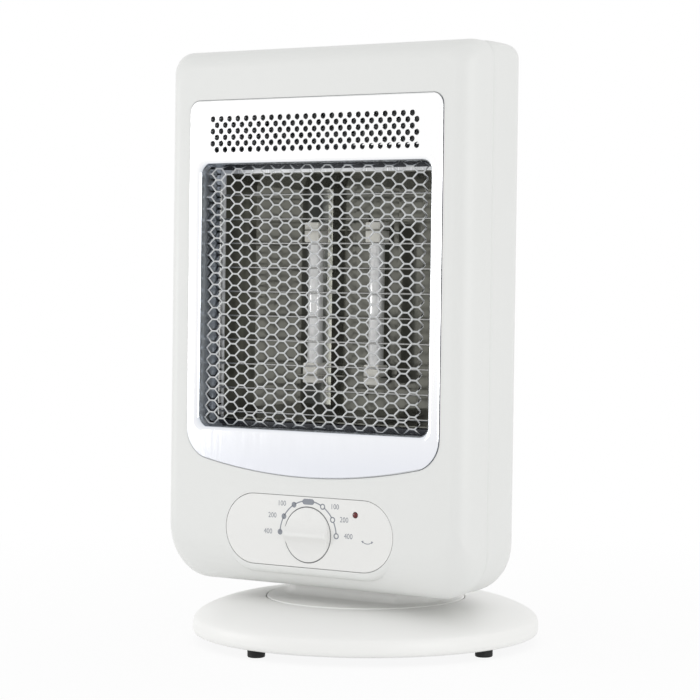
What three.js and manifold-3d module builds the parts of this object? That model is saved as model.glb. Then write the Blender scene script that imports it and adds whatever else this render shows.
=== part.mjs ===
// Desktop halogen heater: a tall moulded head with two quartz lamps behind a hexagonal guard,
// carried by an oscillating turntable on a round weighted base.
// Millimetres, +Z up, origin on the floor under the centre of the base. The head faces -Y.
import * as THREE from "three";
import { mergeVertices } from "three/addons/utils/BufferGeometryUtils.js";
import Module from "manifold-3d";

// ---------------------------------------------------------------- driving dimensions

const gap = 0.3; // clearance between neighbouring pieces
const sheet = 0.8; // gauge of the bent sheet-metal pieces

// Head casing
const headHalfWidth = 109;
const headTop = 356;
const headBottom = 36;
const headLean = 0.98; // degrees, backwards
const faceDepth = 63.2; // front face, in front of the swivel axis
const seamDepth = 38; // joint between front and back shell, in front of the swivel axis
const rearDepth = 38; // flat of the back, behind the swivel axis
const shellWall = 2.6;
const topCornerRadius = 12;
const bottomCornerRadius = 26;
const edgeRollWidth = 11; // how far the front edge rolls in from the side
const edgeRollDepth = 17; // how far the same roll runs back
const chinHeight = 25; // deeper roll along the lower edge
const seamStep = 1.2; // the back shell sits in from the front shell
const rearStraight = 20; // straight side of the back shell behind the seam
const rearCurveWidth = 85; // half-ellipse that closes the back, in plan
const rearRollWidth = 11;
const rearRollDepth = 20;
const rearSlotWidth = 76;
const rearSlotHeight = 4;
const rearSlotPitch = 8;
const upperSlotCount = 9;
const lowerSlotCount = 5;
const upperSlotsBottom = 236;
const lowerSlotsBottom = 108;

// Trim plate, its vents and its window
const trimHalfWidth = 89.3;
const trimTop = 325;
const trimBottom = 102;
const trimSag = 7.3; // rise of the curved lower edge towards its corners
const trimCornerRise = 24; // height where the lower corners meet the sides
const trimCornerRadius = 7;
const trimThickness = 2.2;
const trimProud = 1;
const trimLedge = 4; // width of the shell's ledge behind the trim's edge
const windowHalfWidth = 81.5;
const windowBottom = 129.7;
const windowTop = 286.6;
const windowCornerRadius = 6;
const windowLipDepth = 6;
const windowLipWall = 1.5;
const ventColumns = 24;
const ventRows = 6;
const ventPitch = 6.17;
const ventRowPitch = 3.67;
const ventHoleRadius = 1.7;
const ventTopRow = 313.8;

// Guard, duct and reflector
const guardSheet = 1.2;
const guardWire = 1.5; // width of the strands between the hexagons
const guardColumns = 11;
const guardRows = 10;
const guardFold = 5; // depth of the folded rim
const guardSetBack = 4.2; // front of the guard behind the face
const chamberDepth = 21.5; // face to reflector frame
const frameReach = 11; // how far the frame reaches outside the window
const frameLip = 2.5; // how far it reaches inside at the sides
const frameTopLip = 4.3;
const wireCount = 10;
const wireRadius = 0.6;
const wireTop = 269;
const wirePitch = 14.6;
const reflectorDepth = 38; // frame to the deepest facet
const endPlateFall = 9; // slope of the reflector's end plates

// Lamps
const lampSpacing = 44;
const lampSetBack = 37; // lamp axis behind the face
const lampDrop = 3.65; // middle of the lamps below the middle of the window
const tubeRadius = 4.6;
const tubeWall = 1;
const tubeLength = 84;
const capSize = 10.5;
const capLength = 12;
const capSocketDepth = 6;
const coilRadius = 2.2;
const coilWire = 0.9;
const coilPitch = 4.8;
const coilTurns = 10;
const holderMargin = 3; // lamp holder sheet around the caps, and in front of them
const holderLip = 2;
const holderTab = 12; // tab that is riveted to the reflector's ridge
const cutoutRadius = 8; // thermal cut-out on the heat shield
const cutoutDepth = 6;
const cutoutDrop = 36; // below the window's upper edge

// Control panel
const controlHeight = 70.2;
const controlHalfWidth = 59.5;
const controlHalfHeight = 21.2;
const controlThickness = 1.5;
const padMargin = 5.4; // raised pad around the panel
const padDepth = 14;
const padEdge = 4.5;
const knobHeight = 68.3;
const knobRadius = 16.1;
const knobProud = 2.2;
const knobGripWidth = 9;
const knobGripProud = 4.2;
const selectorShaftRadius = 3;
const selectorSize = 28;
const selectorDepth = 16;
const indicatorOffset = 33.5;
const indicatorHeight = 82;
const indicatorRadius = 1.6;
const terminalOffset = 58; // terminal block, left of the swivel axis
const terminalLength = 40;
const terminalWidth = 18;
const terminalHeight = 13;
const terminalPitch = 12.5;

// Base, turned under the head by the swivel angle that it rests at
const baseTurn = 36; // degrees
const baseRadius = 105;
const baseUnderside = 5.3;
const rimHeight = 9.5;
const baseWall = 2.5;
const discRadius = 60;
const discTop = 27.4;
const discThickness = 2.8;
const discSkirt = 3.1;
const discGap = 0.6;
const floorTop = 21;
const floorThickness = 2.5;
const plateThickness = 2;
const plateInset = 4.5;
const footRadius = 5.2;
const footInset = 11.2; // feet inside the rim
const ballastThickness = 6;
const ballastInner = 30;
const ballastInset = 32; // outer edge of the ballast inside the rim
const baseScrewInset = 23;
const tipSwitchInset = 6.5; // from the middle between turntable and rim, inwards
const glandRadius = 4;
const glandBore = 2.6;
const glandLength = 13;

// Neck, pivot and oscillating drive
const neckHalfWidth = 50;
const neckHalfDepth = 23;
const neckCorner = 13;
const neckCornerDepth = 14;
const neckFlare = 4;
const hubRadius = 14;
const hubTop = 40;
const postRadius = 8;
const postBore = 5.5;
const postShoulder = 45.7;
const postNeckRadius = 6.5;
const armThickness = 2.5;
const armHalfWidth = 5;
const armSlotHalfWidth = 2.5;
const crankOffset = 28;
const crankThrow = 16.9; // with the offset, turns the head 37 degrees to either side
const crankThickness = 3;
const crankPinRadius = 2.2;
const motorRadius = 25;
const motorHeight = 19;
const motorShaftRadius = 3;
const bracketSheet = 1.5;

// Fasteners
const screwRadius = 1.5;
const screwHeadRadius = 3.2;
const screwHeadHeight = 2;
const bossRadius = 4.7;

// ---------------------------------------------------------------- colours

const finish = {
  whitePlastic: [0xe8eae6, 0.42, 0],
  basePlastic: [0xf0f0ee, 0.42, 0],
  mirrorTrim: [0xe6e8ee, 0.12, 0.9],
  guardWire: [0xc8c8c8, 0.4, 0.8],
  polished: [0xd4d6d8, 0.12, 1],
  galvanised: [0xa9adb0, 0.45, 0.9],
  quartz: [0xdfe4e8, 0.1, 0],
  filament: [0x8a6a4a, 0.5, 0.7],
  ceramic: [0xf2f0ea, 0.6, 0],
  greyPlastic: [0x5c6064, 0.6, 0],
  lens: [0x8c1a1a, 0.2, 0],
  steel: [0x8d9194, 0.4, 0.9],
  rubber: [0x1a1a1a, 0.8, 0],
};
const materials = Object.fromEntries(
  Object.entries(finish).map(([name, [color, roughness, metalness]]) => [
    name,
    new THREE.MeshStandardMaterial({ color, roughness, metalness }),
  ]),
);

// ---------------------------------------------------------------- solid helpers

const wasm = await Module();
wasm.setup();

function solidOf(geometry) {
  const bare = geometry.clone();
  bare.deleteAttribute("normal");
  bare.deleteAttribute("uv");
  const welded = mergeVertices(bare, 1e-4);
  return new wasm.Manifold(
    new wasm.Mesh({
      numProp: 3,
      vertProperties: new Float32Array(welded.attributes.position.array),
      triVerts: new Uint32Array(welded.index.array),
    }),
  );
}

function geometryOf(solid) {
  const mesh = solid.getMesh();
  const geometry = new THREE.BufferGeometry();
  geometry.setAttribute("position", new THREE.BufferAttribute(mesh.vertProperties, 3));
  geometry.setIndex(new THREE.BufferAttribute(mesh.triVerts, 1));
  geometry.computeVertexNormals();
  return geometry;
}

const radians = THREE.MathUtils.degToRad;

// A shape drawn in (x, z) as a slab between two depths, front first; an edge roll is optional.
function slab(shape, front, back, roll, curveSegments = 4) {
  const depth = back - front - (roll ? 2 * roll.depth : 0);
  const geometry = new THREE.ExtrudeGeometry(shape, {
    depth,
    curveSegments,
    bevelEnabled: Boolean(roll),
    bevelThickness: roll ? roll.depth : 0,
    bevelSize: roll ? roll.width : 0,
    bevelOffset: roll ? -roll.width : 0,
    bevelSegments: roll ? roll.segments : 1,
  });
  geometry.rotateX(Math.PI / 2);
  geometry.translate(0, back - (roll ? roll.depth : 0), 0);
  return solidOf(geometry);
}

// A shape drawn in (x, y), standing between two heights.
function prism(shape, bottom, top, curveSegments = 6) {
  const geometry = new THREE.ExtrudeGeometry(shape, {
    depth: top - bottom,
    curveSegments,
    bevelEnabled: false,
  });
  geometry.translate(0, 0, bottom);
  return solidOf(geometry);
}

// A shape drawn in (y, z), spanning x from -reach to reach.
function sideProfile(shape, reach, curveSegments = 6) {
  const geometry = new THREE.ExtrudeGeometry(shape, {
    depth: 2 * reach,
    curveSegments,
    bevelEnabled: false,
  });
  const axes = new THREE.Matrix4().makeBasis(
    new THREE.Vector3(0, 1, 0),
    new THREE.Vector3(0, 0, 1),
    new THREE.Vector3(1, 0, 0),
  );
  geometry.applyMatrix4(axes);
  geometry.translate(-reach, 0, 0);
  return solidOf(geometry);
}

function block(x0, x1, y0, y1, z0, z1) {
  const geometry = new THREE.BoxGeometry(x1 - x0, y1 - y0, z1 - z0);
  geometry.translate((x0 + x1) / 2, (y0 + y1) / 2, (z0 + z1) / 2);
  return solidOf(geometry);
}

// A cylinder along +Y from one depth to another.
function rod(x, z, radius, front, back, sides = 12) {
  const geometry = new THREE.CylinderGeometry(radius, radius, back - front, sides);
  geometry.translate(x, (front + back) / 2, z);
  return solidOf(geometry);
}

// A cylinder along +Z from one height to another.
function post(x, y, radius, bottom, top, sides = 16) {
  const geometry = new THREE.CylinderGeometry(radius, radius, top - bottom, sides);
  geometry.rotateX(Math.PI / 2);
  geometry.translate(x, y, (bottom + top) / 2);
  return solidOf(geometry);
}

// A closed (radius, height) profile turned about Z.
function turned(profile, sides) {
  const points = profile.map(([r, z]) => new THREE.Vector2(r, z));
  const geometry = new THREE.LatheGeometry(points, sides);
  geometry.rotateX(Math.PI / 2);
  return solidOf(geometry);
}

function joined(solids) {
  return solids.reduce((whole, piece) => whole.add(piece));
}

function cutBy(solid, cutters) {
  return cutters.reduce((whole, cutter) => whole.subtract(cutter), solid);
}

// ---------------------------------------------------------------- outlines

function roundedOutline(halfWidth, bottom, top, bottomRadius, topRadius) {
  const shape = new THREE.Shape();
  shape.moveTo(-halfWidth + bottomRadius, bottom);
  shape.lineTo(halfWidth - bottomRadius, bottom);
  shape.absarc(halfWidth - bottomRadius, bottom + bottomRadius, bottomRadius, -Math.PI / 2, 0);
  shape.lineTo(halfWidth, top - topRadius);
  shape.absarc(halfWidth - topRadius, top - topRadius, topRadius, 0, Math.PI / 2);
  shape.lineTo(-halfWidth + topRadius, top);
  shape.absarc(-halfWidth + topRadius, top - topRadius, topRadius, Math.PI / 2, Math.PI);
  shape.lineTo(-halfWidth, bottom + bottomRadius);
  shape.absarc(-halfWidth + bottomRadius, bottom + bottomRadius, bottomRadius, Math.PI, 1.5 * Math.PI);
  shape.closePath();
  return shape;
}

function headOutline(inset) {
  return roundedOutline(
    headHalfWidth - inset,
    headBottom + inset,
    headTop - inset,
    bottomCornerRadius - inset,
    Math.max(topCornerRadius - inset, edgeRollWidth + 0.4),
  );
}

function stadium(halfWidth, halfHeight, height) {
  return roundedOutline(halfWidth, height - halfHeight, height + halfHeight, halfHeight, halfHeight);
}

function windowOutline(growth) {
  const radius = windowCornerRadius + Math.max(growth, 0);
  return roundedOutline(
    windowHalfWidth + growth,
    windowBottom - growth,
    windowTop + growth,
    radius,
    radius,
  );
}

// Straight sides and top, and a lower edge that hangs in one long curve between its corners.
function trimOutline(inset) {
  const half = trimHalfWidth - inset;
  const curveHalf = 0.8 * trimHalfWidth;
  const low = trimBottom + inset;
  const shoulder = low + trimSag;
  const slope = (2 * trimSag) / curveHalf;
  const cornerTop = trimBottom + trimCornerRise;
  const radius = trimCornerRadius;
  const top = trimTop - inset;
  const cornerControl = shoulder + slope * (half - curveHalf);
  const shape = new THREE.Shape();
  shape.moveTo(-half, cornerTop);
  shape.quadraticCurveTo(-half, cornerControl, -curveHalf, shoulder);
  shape.quadraticCurveTo(0, low - trimSag, curveHalf, shoulder);
  shape.quadraticCurveTo(half, cornerControl, half, cornerTop);
  shape.lineTo(half, top - radius);
  shape.absarc(half - radius, top - radius, radius, 0, Math.PI / 2);
  shape.lineTo(-half + radius, top);
  shape.absarc(-half + radius, top - radius, radius, Math.PI / 2, Math.PI);
  shape.closePath();
  return shape;
}

function polygon(points) {
  return new THREE.Shape(points.map(([x, y]) => new THREE.Vector2(x, y)));
}

// A strip of sheet that follows a polyline in plan; the sheet's thickness grows towards its left.
function bentStrip(points, thickness) {
  const normals = points.slice(1).map(([x, y], i) => {
    const direction = new THREE.Vector2(x - points[i][0], y - points[i][1]).normalize();
    return new THREE.Vector2(-direction.y, direction.x);
  });
  const offset = points.map(([x, y], i) => {
    const before = normals[Math.max(i - 1, 0)];
    const after = normals[Math.min(i, normals.length - 1)];
    const mitre = before.clone().add(after).normalize();
    const reach = thickness / mitre.dot(after);
    return [x + mitre.x * reach, y + mitre.y * reach];
  });
  return polygon([...points, ...offset.reverse()]);
}

// ---------------------------------------------------------------- places shared by the pieces

const face = -faceDepth;
const floorOutside = headBottom + seamStep;
const floorInside = floorOutside + shellWall;
const seam = -seamDepth;
const rear = rearDepth;
const screwPosts = [
  [-1, headTop - topCornerRadius, topCornerRadius],
  [1, headTop - topCornerRadius, topCornerRadius],
  [-1, headBottom + bottomCornerRadius, bottomCornerRadius],
  [1, headBottom + bottomCornerRadius, bottomCornerRadius],
].map(([side, height, radius]) => {
  const reach = Math.max(radius - shellWall - bossRadius - 3.5, 0) * Math.SQRT1_2;
  const drop = height > (headTop + headBottom) / 2 ? 1 : -1;
  return [side * (headHalfWidth - Math.max(radius, 13) + reach), height + drop * reach];
});
const screwSeat = seam + 12;
const frameFront = face + chamberDepth;
const frameBack = frameFront + sheet;
const frameScrews = [-1, 1].flatMap((side) =>
  [windowBottom + 12, windowTop - 12].map((z) => [side * (windowHalfWidth + frameReach - 4), z]),
);
const guardFront = face + guardSetBack;
const lampAxis = face + lampSetBack;
const lampMiddle = (windowBottom + windowTop) / 2 - lampDrop;
const lampX = [-lampSpacing / 2, lampSpacing / 2];
const reflectorBack = frameBack + reflectorDepth;
const trimBack = face - trimProud + trimThickness;
const plateTop = baseUnderside + gap + plateThickness;
const crankX = crankOffset;
const footCircle = baseRadius - footInset;
const ballastOuter = baseRadius - ballastInset;
const baseScrewCircle = baseRadius - baseScrewInset;
const tipSwitchCircle = (baseRadius + discRadius) / 2 - tipSwitchInset;

const reflectorHalf = windowHalfWidth - frameLip + 1;
const lampHalf = lampSpacing / 2;
const ridgeHalf = 9;
const reflectorLine = [
  [-reflectorHalf, frameBack + gap],
  [-reflectorHalf + 6, frameBack + 0.65 * reflectorDepth],
  [-lampHalf - 26, reflectorBack - 1],
  [-lampHalf - 2, reflectorBack - 3],
  [-ridgeHalf, frameBack + 0.72 * reflectorDepth],
  [ridgeHalf, frameBack + 0.72 * reflectorDepth],
  [lampHalf + 2, reflectorBack - 3],
  [lampHalf + 26, reflectorBack - 1],
  [reflectorHalf - 6, frameBack + 0.65 * reflectorDepth],
  [reflectorHalf, frameBack + gap],
];
const reflectorTop = windowTop - frameTopLip + 1;
const reflectorBottom = windowBottom + frameLip;

// ---------------------------------------------------------------- head casing

// Everything inside the front casing's skin; an inset of the wall gives its hollow.
function frontForm(inset, back) {
  const roll = { width: edgeRollWidth, depth: edgeRollDepth, segments: inset > 0 ? 1 : 3 };
  const spare = 2 * edgeRollDepth;
  const rolled = slab(headOutline(inset), face + inset, seam + spare, roll);
  const low = headBottom + inset;
  const front = face + inset;
  const chin = new THREE.Shape();
  chin.moveTo(front - 1, headTop + 1);
  chin.lineTo(front - 1, low + chinHeight);
  chin.lineTo(front, low + chinHeight);
  chin.absellipse(
    front + edgeRollDepth,
    low + chinHeight,
    edgeRollDepth,
    chinHeight,
    Math.PI,
    1.5 * Math.PI,
  );
  chin.lineTo(back, low);
  chin.lineTo(back, headTop + 1);
  chin.closePath();
  return rolled.intersect(sideProfile(chin, headHalfWidth + 1, inset > 0 ? 3 : 6));
}

function frontShell() {
  const skin = frontForm(0, seam);
  const pad = slab(
    stadium(controlHalfWidth + padMargin, controlHalfHeight + padMargin, controlHeight),
    face,
    face + padDepth,
    { width: padEdge, depth: padEdge, segments: 2 },
  );
  const hollow = frontForm(shellWall, seam + 1);
  const screwBosses = screwPosts.map(([x, z]) =>
    rod(x, z, bossRadius, face + 1, seam, 8).intersect(skin),
  );
  const frameBosses = frameScrews.map(([x, z]) =>
    rod(x, z, 3, face + shellWall - 0.5, frameFront - gap, 8),
  );
  const panelSeat = stadium(controlHalfWidth + gap, controlHalfHeight + gap, controlHeight);
  const shell = joined([skin.add(pad).subtract(hollow), ...screwBosses, ...frameBosses]);
  return cutBy(shell, [
    slab(trimOutline(-gap), face - 2, trimBack + gap),
    slab(trimOutline(trimLedge), face, face + shellWall + 1),
    slab(panelSeat, face - 1, face + controlThickness + gap),
    rod(0, knobHeight, selectorShaftRadius + 2 * gap, face, face + padDepth + 2),
    rod(indicatorOffset, indicatorHeight, indicatorRadius + gap, face, face + padDepth + 2),
    ...screwPosts.map(([x, z]) => rod(x, z, screwRadius + gap, seam - 14, seam + 1, 6)),
    ...frameScrews.map(([x, z]) => rod(x, z, screwRadius - 0.3, frameFront - 8, frameFront, 6)),
  ]);
}

function rearForm(inset, front) {
  const inner = seamStep + inset;
  const outline = headOutline(inner);
  const back = rear - inset;
  const roll = { width: rearRollWidth, depth: rearRollDepth, segments: inset > 0 ? 2 : 3 };
  const rounded = slab(outline, seam - 2 * rearRollDepth, back, roll);
  const half = headHalfWidth - inner;
  const straight = seam + rearStraight;
  const curveDepth = back - straight;
  const flat = headHalfWidth - seamStep - rearCurveWidth;
  const curve = half - flat;
  const plan = new THREE.Shape();
  plan.moveTo(-half, front);
  plan.lineTo(half, front);
  plan.lineTo(half, straight);
  plan.absellipse(flat, straight, curve, curveDepth, 0, Math.PI / 2);
  plan.lineTo(-flat, back);
  plan.absellipse(-flat, straight, curve, curveDepth, Math.PI / 2, Math.PI);
  plan.closePath();
  return rounded.intersect(prism(plan, headBottom - 1, headTop + 1, inset > 0 ? 4 : 7));
}

function rearSlots(bottom, count) {
  return Array.from({ length: count }, (_, i) => {
    const low = bottom + i * rearSlotPitch;
    return block(-rearSlotWidth / 2, rearSlotWidth / 2, rear - 22, rear + 1, low, low + rearSlotHeight);
  });
}

function backShell() {
  const skin = rearForm(0, seam + gap);
  const hollow = rearForm(shellWall, seam - 1);
  const bosses = screwPosts.map(([x, z]) => rod(x, z, bossRadius, seam + gap, rear).intersect(skin));
  return cutBy(joined([skin.subtract(hollow), ...bosses]), [
    ...screwPosts.map(([x, z]) => rod(x, z, screwRadius + gap, seam - 1, rear, 6)),
    ...screwPosts.map(([x, z]) => rod(x, z, screwHeadRadius + gap, screwSeat, rear + 1, 10)),
    ...rearSlots(upperSlotsBottom, upperSlotCount),
    ...rearSlots(lowerSlotsBottom, lowerSlotCount),
    post(0, 0, hubRadius + 1, headBottom - 2, floorInside + 2, 24),
  ]);
}

// ---------------------------------------------------------------- trim, guard and wires

function ventHoles() {
  const holes = [];
  for (let row = 0; row < ventRows; row += 1) {
    const shift = row % 2 === 0 ? -ventPitch / 4 : ventPitch / 4;
    const z = ventTopRow - row * ventRowPitch;
    for (let column = 0; column < ventColumns; column += 1) {
      const x = (column - (ventColumns - 1) / 2) * ventPitch + shift;
      const hole = new THREE.Path();
      for (let corner = 0; corner < 4; corner += 1) {
        const angle = (-corner * Math.PI) / 2;
        const px = x + ventHoleRadius * Math.cos(angle);
        const pz = z + ventHoleRadius * Math.sin(angle);
        if (corner === 0) {
          hole.moveTo(px, pz);
        } else {
          hole.lineTo(px, pz);
        }
      }
      hole.closePath();
      holes.push(hole);
    }
  }
  return holes;
}

function trimPlate() {
  const outline = trimOutline(0);
  outline.holes = ventHoles();
  const plate = slab(outline, face - trimProud, trimBack);
  const lip = slab(windowOutline(windowLipWall), face, face + windowLipDepth);
  return plate.add(lip).subtract(slab(windowOutline(0), face - 2, face + windowLipDepth + 1));
}

// Flat-topped hexagons in staggered columns, with a strand of sheet left between them.
function meshGuard() {
  const half = windowHalfWidth - gap;
  const low = windowBottom + gap;
  const high = windowTop - gap;
  const columnPitch = (2 * half - guardWire) / guardColumns;
  const rowPitch = (high - low - guardWire) / guardRows;
  const cellHalf = (rowPitch - guardWire) / 2;
  const cellReach = (2 * columnPitch) / 3 - guardWire * 0.58;
  const cells = [];
  for (let column = 0; column < guardColumns; column += 1) {
    const x = -half + guardWire / 2 + (column + 0.5) * columnPitch;
    const rows = column % 2 === 0 ? guardRows : guardRows - 1;
    const start = low + guardWire / 2 + (column % 2 === 0 ? rowPitch / 2 : rowPitch);
    for (let row = 0; row < rows; row += 1) {
      const z = start + row * rowPitch;
      const left = column === 0 ? cellReach * 0.62 : cellReach;
      const right = column === guardColumns - 1 ? cellReach * 0.62 : cellReach;
      const hole = new THREE.Path();
      hole.moveTo(x - left, z);
      hole.lineTo(x - cellReach / 2, z + cellHalf);
      hole.lineTo(x + cellReach / 2, z + cellHalf);
      hole.lineTo(x + right, z);
      hole.lineTo(x + cellReach / 2, z - cellHalf);
      hole.lineTo(x - cellReach / 2, z - cellHalf);
      hole.closePath();
      cells.push(hole);
    }
  }
  const net = roundedOutline(half, low, high, windowCornerRadius, windowCornerRadius);
  net.holes = cells;
  const rimOuter = windowOutline(-gap);
  const rimInner = windowOutline(-gap - guardSheet / 1.5);
  const rim = slab(rimOuter, guardFront, guardFront + guardFold).subtract(
    slab(rimInner, guardFront - 1, guardFront + guardFold + 1),
  );
  return slab(net, guardFront, guardFront + guardSheet, null, 3).add(rim);
}

// Folded sheet duct that leads from the window's lip back to the reflector frame.
function windowDuct() {
  const front = face + windowLipDepth + gap;
  const outer = windowOutline(windowLipWall + gap + sheet);
  const inner = windowOutline(windowLipWall + gap);
  const sleeve = slab(outer, front, frameFront - gap, null, 2);
  return sleeve.subtract(slab(inner, front - 1, frameFront, null, 2));
}

function guardWires() {
  const y = frameFront - gap - 1.2;
  const reach = windowHalfWidth + windowLipWall - 0.2;
  const railX = reach - 1.2;
  const wires = Array.from({ length: wireCount }, (_, i) => {
    const geometry = new THREE.CylinderGeometry(wireRadius, wireRadius, 2 * railX, 6);
    geometry.rotateZ(Math.PI / 2);
    geometry.translate(0, y, wireTop - i * wirePitch);
    return solidOf(geometry);
  });
  const rails = [-railX, railX].map((x) =>
    post(x, y, 1, wireTop - (wireCount - 1) * wirePitch - 4, wireTop + 4, 8),
  );
  return joined([...rails, ...wires]);
}

// ---------------------------------------------------------------- reflector and lamps

function reflectorFrame() {
  const outer = roundedOutline(
    windowHalfWidth + frameReach,
    windowBottom - frameReach,
    windowTop + frameReach,
    4,
    4,
  );
  const inner = roundedOutline(
    windowHalfWidth - frameLip,
    reflectorBottom,
    windowTop - frameTopLip,
    2,
    2,
  );
  const screwHoles = frameScrews.map(([x, z]) =>
    rod(x, z, screwRadius + gap, frameFront - 1, frameBack + 1, 6),
  );
  return cutBy(slab(outer, frameFront, frameBack, null, 2), [
    slab(inner, frameFront - 1, frameBack + 1, null, 2),
    ...screwHoles,
  ]);
}

function reflector() {
  return prism(bentStrip(reflectorLine, sheet), reflectorBottom - 1, reflectorTop);
}

// Trough-shaped end plates, closest together at the back.
function endPlate(level, fall) {
  const inside = bentStrip(reflectorLine, -gap).getPoints();
  const half = inside.length / 2;
  const edge = inside.slice(half).map((p) => [p.x, Math.max(p.y, frameBack + gap)]);
  const plate = polygon(edge);
  const geometry = new THREE.ExtrudeGeometry(plate, { depth: sheet, bevelEnabled: false });
  const place = geometry.attributes.position;
  for (let i = 0; i < place.count; i += 1) {
    const back = (place.getY(i) - frameBack) / reflectorDepth;
    place.setZ(i, level + place.getZ(i) - fall * back);
  }
  return solidOf(geometry);
}

function quartzTube(x) {
  const low = lampMiddle - tubeLength / 2;
  const high = lampMiddle + tubeLength / 2;
  const tube = post(x, lampAxis, tubeRadius, low, high, 12);
  return tube.subtract(post(x, lampAxis, tubeRadius - tubeWall, low - 1, high + 1, 12));
}

// One unbroken wound wire: straight tails at the ends and a helix between them.
function filament(x) {
  const steps = 6;
  const sides = 4;
  const low = lampMiddle - (coilTurns * coilPitch) / 2;
  const count = coilTurns * steps;
  const path = [];
  const tail = 2 * coilWire;
  path.push([coilRadius, 0, low - tail]);
  for (let i = 0; i <= count; i += 1) {
    const angle = (i / steps) * 2 * Math.PI;
    const height = low + (i / steps) * coilPitch;
    path.push([coilRadius * Math.cos(angle), coilRadius * Math.sin(angle), height]);
  }
  path.push([coilRadius, 0, low + coilTurns * coilPitch + tail]);
  const leastGap = coilPitch - coilWire;
  console.log(`filament: least gap to itself ${leastGap.toFixed(2)} mm`);
  const positions = [];
  const faces = [];
  path.forEach(([px, py, pz], i) => {
    const straight = i === 0 || i === path.length - 1;
    const out = new THREE.Vector3(px, py, 0).normalize();
    const up = new THREE.Vector3(0, 0, 1);
    const across = new THREE.Vector3().crossVectors(up, out);
    const second = straight ? across : up;
    for (let side = 0; side < sides; side += 1) {
      const angle = (side / sides) * 2 * Math.PI;
      const ring = out
        .clone()
        .multiplyScalar((Math.cos(angle) * coilWire) / 2)
        .addScaledVector(second, ((straight ? -1 : 1) * Math.sin(angle) * coilWire) / 2);
      positions.push(x + px + ring.x, lampAxis + py + ring.y, pz + ring.z);
    }
  });
  for (let i = 0; i < path.length - 1; i += 1) {
    for (let side = 0; side < sides; side += 1) {
      const a = i * sides + side;
      const b = i * sides + ((side + 1) % sides);
      faces.push(a, a + sides, b, b, a + sides, b + sides);
    }
  }
  const last = (path.length - 1) * sides;
  for (let side = 1; side < sides - 1; side += 1) {
    faces.push(0, side, side + 1);
    faces.push(last, last + side + 1, last + side);
  }
  const geometry = new THREE.BufferGeometry();
  geometry.setAttribute("position", new THREE.Float32BufferAttribute(positions, 3));
  geometry.setIndex(faces);
  return geometry;
}

// Square ceramic with a blind socket; end is +1 for the upper cap and -1 for the lower.
function lampCap(x, end) {
  const mouth = lampMiddle + end * (tubeLength / 2 - capSocketDepth + gap);
  const tip = mouth + end * capLength;
  const low = Math.min(mouth, tip);
  const high = Math.max(mouth, tip);
  const half = capSize / 2;
  const body = block(x - half, x + half, lampAxis - half, lampAxis + half, low, high);
  const socketEnd = mouth + end * capSocketDepth;
  const socket = post(
    x,
    lampAxis,
    tubeRadius + gap,
    Math.min(mouth - end, socketEnd),
    Math.max(mouth - end, socketEnd),
    12,
  );
  return body.subtract(socket);
}

// Angle bracket on the reflector's middle ridge that grips both lamp caps.
function lampHolder(end) {
  const level = lampMiddle + end * (tubeLength / 2 - capSocketDepth + gap + capLength * 0.6);
  const half = capSize / 2;
  const ridge = frameBack + 0.72 * reflectorDepth;
  const reach = lampSpacing / 2 + half + holderMargin;
  const low = level - sheet / 2;
  const wide = half + holderLip;
  const strip = block(-reach, reach, lampAxis - wide, lampAxis + wide, low, low + sheet);
  const tongue = block(-ridgeHalf + 1, ridgeHalf - 1, lampAxis, ridge - gap, low, low + sheet);
  const tabLow = end > 0 ? low : low - holderTab + sheet;
  const tabHigh = tabLow + holderTab;
  const tab = block(-ridgeHalf + 1, ridgeHalf - 1, ridge - gap - sheet, ridge - gap, tabLow, tabHigh);
  const holes = lampX.map((x) =>
    block(x - half - gap, x + half + gap, lampAxis - half - gap, lampAxis + half + gap, low - 1, low + 2),
  );
  return cutBy(joined([strip, tongue, tab]), holes);
}

function heatShield() {
  const back = reflectorBack + sheet + 6;
  const side = windowHalfWidth + 2;
  const line = [
    [-side, frameBack + gap],
    [-side + 4, back - 12],
    [-side + 27, back],
    [side - 27, back],
    [side - 4, back - 12],
    [side, frameBack + gap],
  ];
  return prism(bentStrip(line, sheet), windowBottom - 8, windowTop + 8);
}

function thermalCutout() {
  const front = reflectorBack + 2 * sheet + 6 + gap;
  const level = windowTop - cutoutDrop;
  const can = rod(0, level, cutoutRadius, front, front + cutoutDepth, 16);
  const tabLevel = level - cutoutRadius / 2;
  const terminals = [-1, 1].map((side) => {
    const x = (side * cutoutRadius) / 2;
    return block(x - 1.5, x + 1.5, front + cutoutDepth - 1, front + cutoutDepth + 5, tabLevel, tabLevel + 1);
  });
  return joined([can, ...terminals]);
}

// ---------------------------------------------------------------- controls

function controlPanel() {
  const plate = slab(
    stadium(controlHalfWidth, controlHalfHeight, controlHeight),
    face,
    face + controlThickness,
    null,
    6,
  );
  const behind = face + controlThickness + 1;
  return cutBy(plate, [
    rod(0, knobHeight, knobRadius + gap, face - 1, behind, 28),
    rod(indicatorOffset, indicatorHeight, indicatorRadius + gap, face - 1, behind, 8),
  ]);
}

// A shallow disc with one grip ridge across its middle.
function knob() {
  const back = face + controlThickness;
  const front = face - knobProud;
  const disc = rod(0, knobHeight, knobRadius, front, back, 28);
  const ridge = new THREE.Shape();
  const crest = front - knobGripProud;
  ridge.moveTo(front + 1, knobHeight - knobGripWidth);
  ridge.lineTo(front + 1, knobHeight + knobGripWidth);
  ridge.quadraticCurveTo(front, knobHeight + knobGripWidth / 4, crest, knobHeight + knobGripWidth / 6);
  ridge.lineTo(crest, knobHeight - knobGripWidth / 6);
  ridge.quadraticCurveTo(front, knobHeight - knobGripWidth / 4, front + 1, knobHeight - knobGripWidth);
  const grip = sideProfile(ridge, knobRadius, 3).intersect(
    rod(0, knobHeight, knobRadius - 0.6, crest - 1, back, 28),
  );
  return disc.add(grip);
}

const selectorFront = face + padDepth + gap;

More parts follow.
